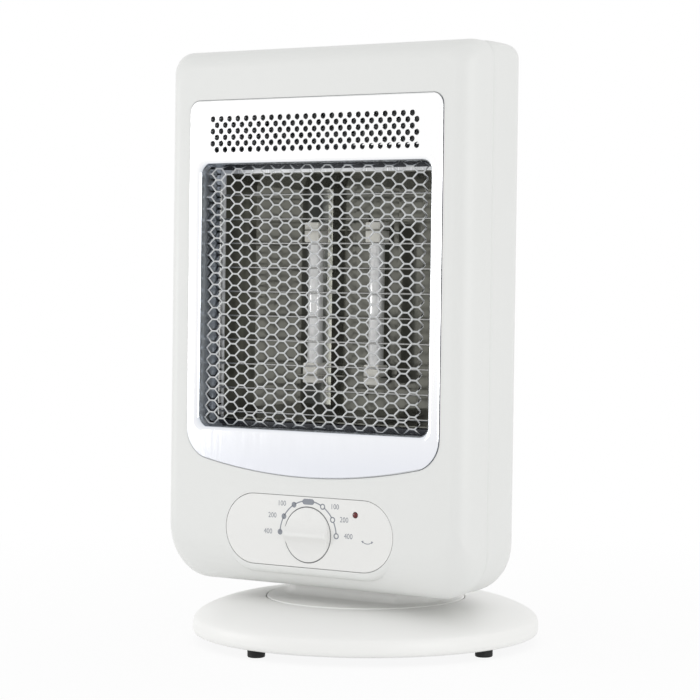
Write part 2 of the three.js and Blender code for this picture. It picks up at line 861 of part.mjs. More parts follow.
function selectorShaft() {
  return rod(0, knobHeight, selectorShaftRadius, face + controlThickness + gap, selectorFront + 6);
}

function selectorSwitch() {
  const half = selectorSize / 2;
  const body = block(
    -half,
    half,
    selectorFront,
    selectorFront + selectorDepth,
    knobHeight - half,
    knobHeight + half,
  );
  return body.subtract(rod(0, knobHeight, selectorShaftRadius + gap, selectorFront - 1, selectorFront + 7));
}

function indicatorLens() {
  return rod(indicatorOffset, indicatorHeight, indicatorRadius, face - 0.6, face + shellWall + 1, 10);
}

function indicatorLamp() {
  const front = face + shellWall + 1 + gap;
  return rod(indicatorOffset, indicatorHeight, 3.2, front, front + 12, 10);
}

function terminalBlock() {
  const low = floorInside + gap;
  const half = terminalLength / 2;
  const wide = terminalWidth / 2;
  const high = low + terminalHeight;
  const body = block(-terminalOffset - half, -terminalOffset + half, -wide, wide, low, high);
  const poles = [-1, 0, 1].map((i) => {
    const x = -terminalOffset + i * terminalPitch;
    return block(x - 0.4 * terminalPitch, x + 0.4 * terminalPitch, -wide + 3, wide - 3, high - 3, high + 4);
  });
  return joined([body, ...poles]);
}

// ---------------------------------------------------------------- base

function domeProfile() {
  const rimTop = baseUnderside + rimHeight;
  const rise = discTop - rimTop;
  const inner = discRadius + discGap;
  const curve = [
    [baseRadius - 1, 0],
    [baseRadius - 2.6, 0.15],
    [baseRadius - 8, 0.4],
    [baseRadius - 17, 0.68],
    [baseRadius - 29, 0.9],
    [inner, 1],
  ];
  return curve.map(([r, share]) => [r, rimTop + share * rise]);
}

function baseCover() {
  const dome = domeProfile();
  const innerDome = [5, 3, 1].map((i) => [
    Math.max(dome[i][0] - baseWall / 2, discRadius + discGap + baseWall),
    dome[i][1] - baseWall,
  ]);
  const profile = [
    [baseRadius - baseWall - 0.3, baseUnderside],
    [baseRadius - 1.8, baseUnderside],
    [baseRadius - 0.4, baseUnderside + 1],
    [baseRadius, baseUnderside + 3],
    ...dome,
    [discRadius + discGap, floorTop],
    [hubRadius + 2 * gap, floorTop],
    [hubRadius + 2 * gap, floorTop - floorThickness],
    [discRadius + discGap + baseWall, floorTop - floorThickness],
    ...innerDome,
    [baseRadius - baseWall - 0.3, baseUnderside],
  ];
  const shell = turned(profile, 40);
  const bosses = fourAround(baseScrewCircle).map(([x, y]) =>
    post(x, y, bossRadius, plateTop + gap, dome[3][1] - 0.5, 8),
  );
  const screwHoles = fourAround(baseScrewCircle).map(([x, y]) =>
    post(x, y, screwRadius + gap, 0, floorTop - 2, 6),
  );
  return cutBy(joined([shell, ...bosses]), [
    ...screwHoles,
    glandCylinder(glandRadius + gap, baseRadius - 12, baseRadius + 4, 12),
  ]);
}

// Four places at the base's own front-left, front-right and rear corners.
function fourAround(radius) {
  return [45, 135, 225, 315].map((degrees) => [
    radius * Math.cos(radians(degrees)),
    radius * Math.sin(radians(degrees)),
  ]);
}

const glandHeight = baseUnderside + gap + plateThickness + glandRadius + 1;

function glandCylinder(radius, inner, outer, sides) {
  return rod(0, glandHeight, radius, inner, outer, sides);
}

function cordGland() {
  const start = baseRadius - glandLength + 3;
  const sleeve = glandCylinder(glandRadius, start, baseRadius + 2, 12);
  const collar = glandCylinder(glandRadius + 1, baseRadius + gap, baseRadius + 2, 12);
  return joined([sleeve, collar]).subtract(glandCylinder(glandBore, start - 1, baseRadius + 3, 8));
}

const plungerPlace = [0, tipSwitchCircle];
const plungerRadius = 3;

function basePlate() {
  const low = baseUnderside + gap;
  const screwHoles = fourAround(baseScrewCircle).map(([x, y]) =>
    post(x, y, screwRadius + gap, low - 1, plateTop + 1, 6),
  );
  return cutBy(post(0, 0, baseRadius - plateInset, low, plateTop, 40), [
    ...screwHoles,
    post(...plungerPlace, plungerRadius + 2 * gap, low - 1, plateTop + 1, 12),
  ]);
}

function foot([x, y]) {
  return post(x, y, footRadius, 0, baseUnderside, 12);
}

function ballast() {
  const start = radians(-225);
  const end = radians(45);
  const shape = new THREE.Shape();
  shape.absarc(0, 0, ballastOuter, start, end);
  shape.absarc(0, 0, ballastInner, end, start, true);
  shape.closePath();
  return prism(shape, plateTop + gap, plateTop + gap + ballastThickness, 12);
}

function tipPlunger() {
  const [x, y] = plungerPlace;
  const stem = post(x, y, plungerRadius, gap, plateTop + 7, 10);
  const button = post(x, y, plungerRadius + 1.6, gap, 2.3, 10);
  const collar = post(x, y, plungerRadius + 1.6, plateTop + 4.6, plateTop + 5.8, 10);
  return joined([stem, button, collar]);
}

function tipSwitch() {
  const [x, y] = plungerPlace;
  const low = plateTop + 7 + gap;
  const body = block(x - 10, x + 10, y - 3.2, y + 3.2, low, low + 5.6);
  const legs = [-1, 1].map((side) =>
    block(x + side * 8.5 - 1.5, x + side * 8.5 + 1.5, y - 3.2, y + 3.2, plateTop + gap, low + 1),
  );
  return joined([body, ...legs]);
}

function baseScrew([x, y]) {
  return joined([
    post(x, y, screwHeadRadius, baseUnderside - screwHeadHeight, baseUnderside, 10),
    post(x, y, screwRadius, baseUnderside - 0.5, floorTop - 5, 6),
  ]);
}

function casingScrew([x, z]) {
  return joined([
    rod(x, z, screwHeadRadius, screwSeat + gap, screwSeat + gap + screwHeadHeight, 10),
    rod(x, z, screwRadius, seam - 10, screwSeat + gap + 0.5, 6),
  ]);
}

function frameScrew([x, z]) {
  return joined([
    rod(x, z, screwRadius + 1.3, frameBack + gap, frameBack + gap + 1.5, 8),
    rod(x, z, screwRadius - 0.6, frameFront - 7, frameBack + gap + 0.5, 6),
  ]);
}

// ---------------------------------------------------------------- neck and drive

// A hollow post on a flange; a notch at the rear lets the wires in.
function pivotPost() {
  const flange = 24;
  const body = turned(
    [
      [postBore, plateTop + gap],
      [flange, plateTop + gap],
      [flange, plateTop + gap + 2.5],
      [postRadius, plateTop + gap + 2.5],
      [postRadius, postShoulder],
      [postNeckRadius, postShoulder],
      [postNeckRadius, postShoulder + gap + armThickness + 2],
      [postBore, postShoulder + gap + armThickness + 2],
      [postBore, plateTop + gap],
    ],
    20,
  );
  return body.subtract(block(-3, 3, 0, flange + 1, plateTop, plateTop + gap + 7));
}

function neckOutline() {
  const x = neckHalfWidth;
  const y = neckHalfDepth;
  return [
    [-x, -y + neckCornerDepth],
    [-x + neckCorner, -y],
    [x - neckCorner, -y],
    [x, -y + neckCornerDepth],
    [x, y - neckCornerDepth],
    [x - neckCorner, y],
    [-x + neckCorner, y],
    [-x, y - neckCornerDepth],
  ];
}

// Pedestal walls that flare out where they meet the turntable.
function neck() {
  const levels = 4;
  const low = discTop - 1;
  const high = floorOutside + 2;
  const geometry = new THREE.ExtrudeGeometry(polygon(neckOutline()), {
    depth: high - low,
    steps: levels,
    bevelEnabled: false,
  });
  const place = geometry.attributes.position;
  for (let i = 0; i < place.count; i += 1) {
    const height = place.getZ(i);
    const rise = Math.min(Math.max(height - 1, 0) / neckFlare, 1);
    const flare = neckFlare * (1 - Math.sin((rise * Math.PI) / 2));
    const grow = 1 + flare / neckHalfDepth;
    place.setXYZ(
      i,
      place.getX(i) + Math.sign(place.getX(i)) * flare,
      place.getY(i) * grow,
      low + height,
    );
  }
  return solidOf(geometry);
}

function turntable() {
  const bore = postRadius + gap;
  const under = discTop - discThickness;
  const disc = turned(
    [
      [bore, floorTop - floorThickness - 2.2],
      [hubRadius, floorTop - floorThickness - 2.2],
      [hubRadius, under],
      [discRadius - discSkirt, under],
      [discRadius - discSkirt, floorTop + gap],
      [discRadius, floorTop + gap],
      [discRadius, discTop - 0.8],
      [discRadius - 0.8, discTop],
      [bore, discTop],
      [bore, floorTop - floorThickness - 2.2],
    ],
    32,
  );
  const hub = post(0, 0, hubRadius, discTop - 1, hubTop, 20);
  const lean = radians(headLean);
  const ceiling = solidOf(
    new THREE.BoxGeometry(3 * neckHalfWidth, 4 * neckHalfDepth, 10)
      .translate(0, 0, floorOutside - gap + 5)
      .rotateX(-lean),
  );
  const shaftHole = post(0, 0, bore, 0, hubTop + 1, 20);
  return joined([disc, neck().subtract(ceiling), hub]).subtract(shaftHole);
}

function retainingRing() {
  const top = floorTop - floorThickness - gap;
  const inner = hubRadius + gap;
  const outer = hubRadius + 10;
  return turned(
    [
      [inner, top - 1.8],
      [outer, top - 1.8],
      [outer, top],
      [inner, top],
      [inner, top - 1.8],
    ],
    20,
  );
}

function slottedArm() {
  const shape = new THREE.Shape();
  const hub = postNeckRadius + 5;
  const flank = Math.asin(armHalfWidth / hub);
  shape.absarc(0, 0, hub, flank, 2 * Math.PI - flank);
  shape.absarc(crankOffset + crankThrow, 0, armHalfWidth, -Math.PI / 2, Math.PI / 2);
  shape.closePath();
  const bore = new THREE.Path();
  bore.absarc(0, 0, postNeckRadius + gap, 0, 2 * Math.PI, true);
  const slot = new THREE.Path();
  const near = crankOffset - crankThrow;
  const far = crankOffset + crankThrow;
  slot.absarc(far, 0, armSlotHalfWidth, Math.PI / 2, -Math.PI / 2, true);
  slot.absarc(near, 0, armSlotHalfWidth, -Math.PI / 2, Math.PI / 2, true);
  slot.closePath();
  shape.holes = [bore, slot];
  return prism(shape, postShoulder + gap, postShoulder + gap + armThickness, 8);
}

const crankLow = postShoulder + gap + armThickness + 3.5;
const bracketLow = crankLow + crankThickness + 1;

// The crank is turned so that its pin stands over the slot at rest.
function crankDisc() {
  const turn = radians(baseTurn);
  const angle = turn + Math.asin((crankOffset * Math.sin(turn)) / crankThrow);
  const pinX = crankX + crankThrow * Math.cos(angle);
  const pinY = crankThrow * Math.sin(angle);
  const pinLow = postShoulder + gap + armThickness + 0.6;
  const crankHigh = crankLow + crankThickness;
  const disc = post(crankX, 0, crankThrow + crankPinRadius + 1, crankLow, crankHigh, 20);
  const pin = post(pinX, pinY, crankPinRadius, pinLow, crankLow + 1, 10);
  const shaftHole = post(crankX, 0, motorShaftRadius + gap, crankLow - 1, crankHigh + 1, 12);
  return joined([disc, pin]).subtract(shaftHole);
}

function swivelMotor() {
  const low = bracketLow + bracketSheet + gap;
  const can = post(crankX, 0, motorRadius, low, low + motorHeight, 20);
  const shaft = post(crankX, 0, motorShaftRadius, crankLow + gap, low + 1, 12);
  return joined([can, shaft]);
}

// Bridge over the sweep of the slotted arm.
function motorBracket() {
  const floor = floorInside + gap;
  const left = -hubRadius - 8;
  const right = crankX + motorRadius + 20;
  const half = motorRadius - 3;
  const legHalf = rear - shellWall - rearRollDepth - 2;
  const top = block(left, right, -half, half, bracketLow, bracketLow + bracketSheet);
  const legs = [
    block(left, left + bracketSheet, -legHalf, legHalf, floor, bracketLow + 0.5),
    block(right - bracketSheet, right, -legHalf, legHalf, floor, bracketLow + 0.5),
  ];
  const shaftHole = post(crankX, 0, 1.5 * motorShaftRadius, bracketLow - 1, bracketLow + 3, 12);
  return joined([top, ...legs]).subtract(shaftHole);
}

// ---------------------------------------------------------------- assembly

const model = new THREE.Group();
const head = new THREE.Group();
head.rotation.x = -radians(headLean);
const base = new THREE.Group();
base.rotation.z = radians(baseTurn);
model.add(head, base);

function place(group, name, piece, material) {
  const geometry = piece instanceof THREE.BufferGeometry ? piece : geometryOf(piece);
  const mesh = new THREE.Mesh(geometry, material);
  mesh.name = name;
  group.add(mesh);
}

place(head, "front_shell", frontShell(), materials.whitePlastic);
place(head, "back_shell", backShell(), materials.whitePlastic);
place(head, "trim_plate", trimPlate(), materials.mirrorTrim);
place(head, "mesh_guard", meshGuard(), materials.guardWire);
place(head, "window_duct", windowDuct(), materials.galvanised);
place(head, "guard_wires", guardWires(), materials.polished);
place(head, "reflector_frame", reflectorFrame(), materials.polished);
place(head, "reflector", reflector(), materials.polished);
place(head, "reflector_top", endPlate(reflectorTop - 2 * sheet, endPlateFall), materials.polished);
place(head, "reflector_bottom", endPlate(reflectorBottom + sheet, -endPlateFall), materials.polished);
place(head, "heat_shield", heatShield(), materials.galvanised);
lampX.forEach((x, i) => {
  const side = ["left", "right"][i];
  place(head, `quartz_tube_${side}`, quartzTube(x), materials.quartz);
  place(head, `filament_${side}`, filament(x), materials.filament);
  place(head, `lamp_cap_${side}_upper`, lampCap(x, 1), materials.ceramic);
  place(head, `lamp_cap_${side}_lower`, lampCap(x, -1), materials.ceramic);
});
place(head, "lamp_holder_upper", lampHolder(1), materials.galvanised);
place(head, "lamp_holder_lower", lampHolder(-1), materials.galvanised);
place(head, "thermal_cutout", thermalCutout(), materials.steel);
place(head, "control_panel", controlPanel(), materials.whitePlastic);
place(head, "knob", knob(), materials.whitePlastic);
place(head, "selector_shaft", selectorShaft(), materials.greyPlastic);
place(head, "selector_switch", selectorSwitch(), materials.greyPlastic);
place(head, "indicator_lens", indicatorLens(), materials.lens);
place(head, "indicator_lamp", indicatorLamp(), materials.greyPlastic);
place(head, "terminal_block", terminalBlock(), materials.ceramic);
place(head, "motor_bracket", motorBracket(), materials.galvanised);
place(head, "swivel_motor", swivelMotor(), materials.steel);
place(head, "crank_disc", crankDisc(), materials.greyPlastic);
screwPosts.forEach((spot, i) => {
  place(head, `casing_screw_${i + 1}`, casingScrew(spot), materials.steel);
});
frameScrews.forEach((spot, i) => {
  place(head, `frame_screw_${i + 1}`, frameScrew(spot), materials.steel);
});

place(model, "turntable", turntable(), materials.basePlastic);
place(model, "retaining_ring", retainingRing(), materials.greyPlastic);

place(base, "base_cover", baseCover(), materials.basePlastic);
place(base, "base_plate", basePlate(), materials.steel);
place(base, "ballast_weight", ballast(), materials.steel);
place(base, "pivot_post", pivotPost(), materials.greyPlastic);
place(base, "slotted_arm", slottedArm(), materials.steel);
place(base, "cord_gland", cordGland(), materials.greyPlastic);
place(base, "tip_plunger", tipPlunger(), materials.greyPlastic);
place(base, "tip_switch", tipSwitch(), materials.greyPlastic);
fourAround(footCircle).forEach((spot, i) => {
  place(base, `foot_${i + 1}`, foot(spot), materials.rubber);
});
fourAround(baseScrewCircle).forEach((spot, i) => {
  place(base, `base_screw_${i + 1}`, baseScrew(spot), materials.steel);
});

export default model;
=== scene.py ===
"""Desktop halogen heater, dressed for rendering over its fixed frame.

Every piece is modelled in millimetres in the place where it is assembled: head pieces upright
and then leaned back, base pieces square to the base and then turned under the head. Heights run
up from the floor and depths run back from the swivel axis, so the front is at negative depths.
"""
import math

import bmesh
import bpy
from mathutils import Matrix, Vector


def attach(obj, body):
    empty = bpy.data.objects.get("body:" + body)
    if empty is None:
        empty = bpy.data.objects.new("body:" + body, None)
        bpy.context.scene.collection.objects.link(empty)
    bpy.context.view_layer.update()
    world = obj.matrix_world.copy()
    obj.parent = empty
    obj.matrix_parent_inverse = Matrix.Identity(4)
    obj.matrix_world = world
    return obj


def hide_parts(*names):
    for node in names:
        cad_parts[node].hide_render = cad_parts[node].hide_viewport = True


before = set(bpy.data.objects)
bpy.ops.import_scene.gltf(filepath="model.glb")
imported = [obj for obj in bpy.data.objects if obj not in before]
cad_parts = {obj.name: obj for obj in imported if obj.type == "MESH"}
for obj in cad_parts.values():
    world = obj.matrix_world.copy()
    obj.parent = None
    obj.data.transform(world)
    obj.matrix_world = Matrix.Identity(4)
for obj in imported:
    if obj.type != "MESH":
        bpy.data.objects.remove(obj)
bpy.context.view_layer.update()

# ---- dimensions in millimetres

GAP = 0.3

# Head casing
HEAD_HALF = 109
HEAD_TOP = 356
HEAD_BOTTOM = 36
HEAD_LEAN = 0.98  # degrees, backwards
FACE = -63.2
SEAM = -41
REAR = 38
WALL = 2.6
TOP_CORNER = 10.5
BOTTOM_CORNER = 26
ROLL_WIDTH = 11  # the front edge rolls in from the side
ROLL_DEPTH = 17  # and runs back
CHIN = 25  # rise of the roll along the lower edge
FACE_EDGE = 0.6
SEAM_STEP = 0.4  # the back casing sits in from the front one
SEAM_GROOVE = 0.8
REAR_CORNER = 8
REAR_LOWER_CORNER = 29
REAR_EASE = [(0, 1.5), (0.6, 1.0), (1.4, 0.6), (2.6, 0.25), (4.5, 0)]  # run back, drawn in
REAR_STRAIGHT = 16  # straight side behind the seam
REAR_CURVE = 85  # half-ellipse across the back, in plan
REAR_ROLL_WIDTH = 11
REAR_ROLL_DEPTH = 20
SLOT_HALF = 38
SLOT_HEIGHT = 4
SLOT_CORNER = 1.9
SLOT_PITCH = 8
SLOT_BLOCKS = [(236, 9), (108, 5)]  # height of the lowest slot, number of slots

# Trim plate with its vents and window
TRIM_HALF = 89.8
TRIM_TOP = 325
TRIM_BOTTOM = 102
TRIM_LOWER_CORNER = 14
TRIM_UPPER_CORNER = 7
TRIM_SAG = 7.3  # rise of the curved lower edge
SAG_REACH = 71.44  # half width over which it rises that far
TRIM_FIT = 0.45
TRIM_LEDGE = 4
TRIM_FRONT = FACE - 1
TRIM_BACK = TRIM_FRONT + 2.2
WINDOW = (81.5, 129.7, 286.6)  # half width, bottom, top
WINDOW_CORNER = 6
WINDOW_ROLL = 3.2
LIP_BACK = FACE + 6
LIP_WALL = 1.5
VENT_ROWS = 6
VENT_COLUMNS = 24
VENT_PITCH = 6.17
VENT_ROW_PITCH = 3.67
VENT_TOP_ROW = 313.8
VENT_RADIUS = 1.7
VENT_EDGE = 0.2

# Guard net and the wires behind it
CELL_ROW = 7.0
CELL_COLUMN = 7.1
CELL_TIP = 5.3  # half width over a cell's tips
CELL_FLAT = 1.8  # half length of its level sides
STRAND_WIDTH = 1.0
STRAND_THICK = 0.8
NET_LEFT = -80.6
NET_RIGHT = 75.5
NET_MARGIN = 0.7
NET_SET_BACK = 4.2
NET_MIDDLE = 208
NET_SKEW = Matrix(((1.011, 0, 0.0238), (0, 1, 0), (-0.0314, 0, 1)))
NET_SHIFT = (-0.6, -1.05)
FRAME_FRONT = FACE + 21.5
WIRE_COUNT = 10
WIRE_TOP = 269
WIRE_PITCH = 14.6
WIRE_RADIUS = 0.6
UPRIGHT_RADIUS = 1

# Lamps
LAMP_X = (-22, 22)
LAMP_Y = -26.2
LAMP_MIDDLE = 204.5
TUBE_LENGTH = 84
TUBE_RADIUS = 4.6
TUBE_BORE = 3.6
COIL_RADIUS = 2.2
COIL_WIRE = 0.32
COIL_PITCH = 2.6
COIL_TURNS = 20
COIL_START = 16  # above the tube's lower end
CAP_SIZE = 10.5
CAP_LENGTH = 12
CAP_OVERLAP = 5.7
CAP_BORE = 4.9
SEAL_RADIUS = 3.2
SEAL_REACH = (19.5, 0.5)  # from the tube's end, inwards

# Control panel
PANEL_REACH = 59.5  # half width
PANEL_RISE = 20.8  # half height
PANEL_MIDDLE = 69.8
PANEL_THICK = 1.5
PANEL_FIT = 0.35
PAD_MARGIN = 5.4
PAD_EDGE = 4.5
PAD_DEPTH = 14
PAD_SINK = 0.03  # keeps its front off the casing's plane
ROUND_END = 0.999  # corner radius as a share of the half height
KNOB_MIDDLE = 68.3
KNOB_RADIUS = 16.1
KNOB_FRONT = 0.45  # proud of the panel
RIDGE_REACH = 16  # half length
KNOB_RIDGE = [(-0.4, 8.4), (0, 8.0), (0.5, 6.2), (1.2, 4.4), (2.1, 3.0), (3.0, 1.9), (3.5, 1.2),
              (3.7, 0.6)]  # proud of the disc, half height
SHAFT_HOLE = 3.6
INDICATOR = (33.5, 82)
LENS_BORE = 1.9
INK = 0.05
MARK_RADIUS = 20.1
MARK_SHIFT = 0.3
MARK_MIDDLE = 68.2
FILLED_MARKS = (-30.5, -60, -88)  # degrees from the upright
OPEN_MARKS = (30.5, 60, 88)
MARK_SPANS = [(-86, -62), (-58, -32.5), (-28.5, -11), (11, 26.5), (34.5, 56), (64, 84)]
NUMBER_WIDTH = 0.92
NUMBERS = [
    ("100", -19.0, 17.6), ("200", -25.8, 10.2), ("400", -28.8, 0.5),
    ("100", 18.8, 17.7), ("200", 25.5, 10.4), ("400", 28.6, 1.0),
]
ARROW_PLACE = (41.8, 2.8)
ARROW_RADIUS = 5.2

# Base, turntable and neck
BASE_TURN = 36  # degrees
BASE_RADIUS = 105
BASE_UNDERSIDE = 5.3
RIM_TOP = BASE_UNDERSIDE + 9.5
BASE_RIM = [(2.8, 0), (1.8, 0), (1.0, 0.35), (0.4, 1.1), (0.05, 2.4), (0, 3.4), (0.1, 6.0),
            (0.4, 8.1)]  # in from the edge, up from the underside
DISC_RADIUS = 60
DISC_TOP = 27.4
DISC_SKIRT = 3.1
DISC_THICK = 2.8
WELL_RADIUS = DISC_RADIUS + 0.6
WELL_TOP = DISC_TOP - 0.45
FLOOR_TOP = 21
FLOOR_THICK = 2.5
POST_HOLE = 14.6
HUB_RADIUS = 14
HUB_BORE = 8.3
HUB_BOTTOM = 16.3
HUB_TOP = 40
NECK_HALF = (50, 23)
NECK_CORNER = 13.5
NECK_EASE = 1.6
NECK_FLARE = 4.0
FOOT_CIRCLE = 93.8
FOOT_RADIUS = 5.2
GLAND_RADIUS = 4.3
GLAND_HEIGHT = 12.6

# Casing screws
CASING_SCREWS = [(-96.8, 345.4), (96.8, 345.4), (-93.7, 51.9), (93.7, 51.9)]
SCREW_SEAT = -26
SCREW_RADIUS = 1.5
SCREW_LENGTH = 22
SCREW_BORE = 1.8
SCREW_WELL = 3.5
SCREW_BOSS = 4.7
SCREW_HEAD = 2

MM = Matrix.Scale(0.001, 4)
HEAD = MM @ Matrix.Rotation(-math.radians(HEAD_LEAN), 4, "X")
BASE = MM @ Matrix.Rotation(math.radians(BASE_TURN), 4, "Z")
STAND = MM

# ---- objects and nodes


def new_object(name, data):
    thing = bpy.data.objects.new(name, data)
    bpy.context.collection.objects.link(thing)
    return thing


def mesh_data(name, mesh):
    data = bpy.data.meshes.new(name)
    mesh.to_mesh(data)
    mesh.free()
    return data


def shaped_mesh(thing):
    """The mesh that modifiers or a text come out as."""
    shaped = thing.evaluated_get(bpy.context.evaluated_depsgraph_get())
    mesh = bmesh.new()
    mesh.from_mesh(shaped.to_mesh())
    shaped.to_mesh_clear()
    return mesh


def srgb(*levels):
    """A colour written in 0 to 255 as the shader's linear values."""
    shares = [level / 255 for level in levels]
    return (*[share / 12.92 if share <= 0.04045 else ((share + 0.055) / 1.055) ** 2.4
              for share in shares], 1)


def give(tree, socket, value):
    """Sets a socket to a plain value or links it to another node's output."""
    if isinstance(value, bpy.types.NodeSocket):
        tree.links.new(value, socket)
    else:
        socket.default_value = value


def math_node(tree, operation, first, second):
    node = tree.nodes.new("ShaderNodeMath")
    node.operation = operation
    give(tree, node.inputs[0], first)
    give(tree, node.inputs[1], second)
    return node.outputs[0]


def vector_node(tree, operation, *values):
    node = tree.nodes.new("ShaderNodeVectorMath")
    node.operation = operation
    for socket, value in zip(node.inputs, values):
        give(tree, socket, value)
    return node.outputs["Vector" if operation == "MULTIPLY" else "Value"]


def ramp(tree, value, start, end, low=0.0, high=1.0):
    """Low up to start, high from end on, evenly between."""
    node = tree.nodes.new("ShaderNodeMapRange")
    for label, level in zip(("From Min", "From Max", "To Min", "To Max"), (start, end, low, high)):
        node.inputs[label].default_value = level
    tree.links.new(value, node.inputs["Value"])
    return node.outputs[0]


def mixed(tree, factor, first, second, blend="MIX"):
    mix = tree.nodes.new("ShaderNodeMix")
    mix.data_type = "RGBA"
    mix.blend_type = blend
    for socket, value in ((0, factor), (6, first), (7, second)):
        give(tree, mix.inputs[socket], value)
    return mix.outputs[2]


def noise(tree, vector, scale, detail):
    node = tree.nodes.new("ShaderNodeTexNoise")
    node.inputs["Detail"].default_value = detail
    tree.links.new(vector, node.inputs["Vector"])
    give(tree, node.inputs["Scale"], scale)
    return node.outputs["Fac"]


def object_place(tree):
    return tree.nodes.new("ShaderNodeTexCoord").outputs["Object"]


def height_of(tree, place):
    split = tree.nodes.new("ShaderNodeSeparateXYZ")
    tree.links.new(place, split.inputs[0])
    return split.outputs["Z"]


# ---- camera, light and stage

VIEW_ANGLES = (33.9245, 2.2689, 0.2198)  # degrees from the right, down and of roll
VIEW_PLACE = (0.8266, -1.2470, 0.2354)
ROOM_LIGHT = 0.82
LIGHT_SIZE = (1.3, 0.45)
LIGHT_AIM = Vector((0, 0, 0.05))


def set_camera():
    """The photograph's viewpoint: right of the front, a little above the middle."""
    yaw, pitch, roll = (math.radians(angle) for angle in VIEW_ANGLES)
    forward = Vector((-math.sin(yaw) * math.cos(pitch), math.cos(yaw) * math.cos(pitch),
                      -math.sin(pitch)))
    level = Vector((math.cos(yaw), math.sin(yaw), 0))
    upright = level.cross(forward)
    right = level * math.cos(roll) + upright * math.sin(roll)
    up = upright * math.cos(roll) - level * math.sin(roll)
    data = bpy.data.cameras.new("camera")
    data.lens = 126.98
    data.sensor_width = 36
    camera = new_object("camera", data)
    turn = Matrix((right, up, -forward)).transposed().to_4x4()
    camera.matrix_world = Matrix.Translation(VIEW_PLACE) @ turn
    bpy.context.scene.camera = camera


def soft_light(name, place, watts):
    data = bpy.data.lights.new(name, "AREA")
    data.shape = "RECTANGLE"
    data.size, data.size_y = LIGHT_SIZE
    data.energy = watts
    light = new_object(name, data)
    facing_in = (LIGHT_AIM - Vector(place)).to_track_quat("-Z", "Y")
    light.matrix_world = Matrix.Translation(place) @ facing_in.to_matrix().to_4x4()


def seen_straight(tree):
    """1 for what the camera, a mirror or a glass sees, 0 for what lights a surface."""
    path = tree.nodes.new("ShaderNodeLightPath").outputs
    seen = math_node(tree, "MAXIMUM", path["Is Camera Ray"], path["Is Glossy Ray"])
    return math_node(tree, "MAXIMUM", seen, path["Is Transmission Ray"])


def set_studio():
    """Pale room and two low soft lights, one at either side."""
    scene = bpy.context.scene
    scene.view_settings.view_transform = "Standard"
    scene.world = bpy.data.worlds.new("pale_room")
    scene.world.use_nodes = True
    tree = scene.world.node_tree
    background = tree.nodes["Background"]
    background.inputs["Color"].default_value = (1, 1, 1, 1)
    level = ramp(tree, seen_straight(tree), 0, 1, ROOM_LIGHT, 1)
    tree.links.new(level, background.inputs["Strength"])
    soft_light("left", (-1.8, -1.2, 0.25), 8)
    soft_light("right", (2.1, -0.7, 0.25), 7)


def studio_floor():
    """White floor that keeps the object's soft shadow and clears to white away from it."""
    mesh = bmesh.new()
    bmesh.ops.create_circle(mesh, cap_ends=True, segments=64, radius=60)
    floor = new_object("studio_floor", mesh_data("studio_floor", mesh))
    material = bpy.data.materials.new("studio_white")
    material.use_nodes = True
    tree = material.node_tree
    shader = tree.nodes["Principled BSDF"]
    shader.inputs["Base Color"].default_value = (0.96, 0.96, 0.96, 1)
    shader.inputs["Roughness"].default_value = 0.9
    shader.inputs["Specular IOR Level"].default_value = 0.1
    glow = tree.nodes.new("ShaderNodeEmission")
    clear = ramp(tree, vector_node(tree, "LENGTH", object_place(tree)), 0.15, 0.6, 0.9, 1)
    mix = tree.nodes.new("ShaderNodeMixShader")
    tree.links.new(math_node(tree, "MULTIPLY", seen_straight(tree), clear), mix.inputs["Fac"])
    tree.links.new(shader.outputs[0], mix.inputs[1])
    tree.links.new(glow.outputs[0], mix.inputs[2])
    tree.links.new(mix.outputs[0], tree.nodes["Material Output"].inputs["Surface"])
    floor.data.materials.append(material)


# ---- finishes


def effect_group(name, inputs):
    """An empty effect; its inputs are (name, kind, default)."""
    group = bpy.data.node_groups.new(name, "ShaderNodeTree")
    kinds = {"color": "NodeSocketColor", "value": "NodeSocketFloat", "vector": "NodeSocketVector"}
    for label, kind, default in inputs:
        socket = group.interface.new_socket(name=label, in_out="INPUT", socket_type=kinds[kind])
        socket.default_value = default
    for label, kind in (("Color", "color"), ("Roughness", "value"), ("Normal", "vector")):
        group.interface.new_socket(name=label, in_out="OUTPUT", socket_type=kinds[kind])
    start = group.nodes.new("NodeGroupInput").outputs
    end = group.nodes.new("NodeGroupOutput").inputs
    return group, start, end


def finish_effect(group, start, end, tone, uneven, relief, strength, distance):
    """Joins a tone, an unevenness of gloss and a relief to the effect's outputs."""
    color = mixed(group, 1, start["Color"], tone, "MULTIPLY")
    gloss = math_node(group, "ADD", start["Roughness"], uneven)
    bump = group.nodes.new("ShaderNodeBump")
    bump.inputs["Distance"].default_value = distance
    group.links.new(strength, bump.inputs["Strength"])
    group.links.new(relief, bump.inputs["Height"])
    for label, value in zip(("Color", "Roughness", "Normal"), (color, gloss, bump.outputs[0])):
        group.links.new(value, end[label])
    return group


def around_zero(tree, value, share):
    """A noise of 0 to 1 as a small change both ways."""
    return math_node(tree, "MULTIPLY", math_node(tree, "SUBTRACT", value, 0.5), share)


def darkened(tree, value, share):
    """A tone that falls below 1 by a share of the value."""
    return math_node(tree, "SUBTRACT", 1.0, math_node(tree, "MULTIPLY", value, share))


def moulded_grain_group():
    """Spark-eroded moulding: fine pits, a slow change of tone and a slightly uneven gloss."""
    group, start, end = effect_group("moulded_grain", [
        ("Color", "color", (0.8, 0.8, 0.8, 1)), ("Grain Scale", "value", 1600.0),
        ("Grain Depth", "value", 0.1), ("Tone Change", "value", 0.03), ("Roughness", "value", 0.4),
    ])
    where = object_place(group)
    grain = noise(group, where, start["Grain Scale"], 3)
    tone = darkened(group, noise(group, where, 9.0, 1), start["Tone Change"])
    patch = around_zero(group, noise(group, where, 60.0, 2), 0.12)
    return finish_effect(group, start, end, tone, patch, grain, start["Grain Depth"], 0.0002)


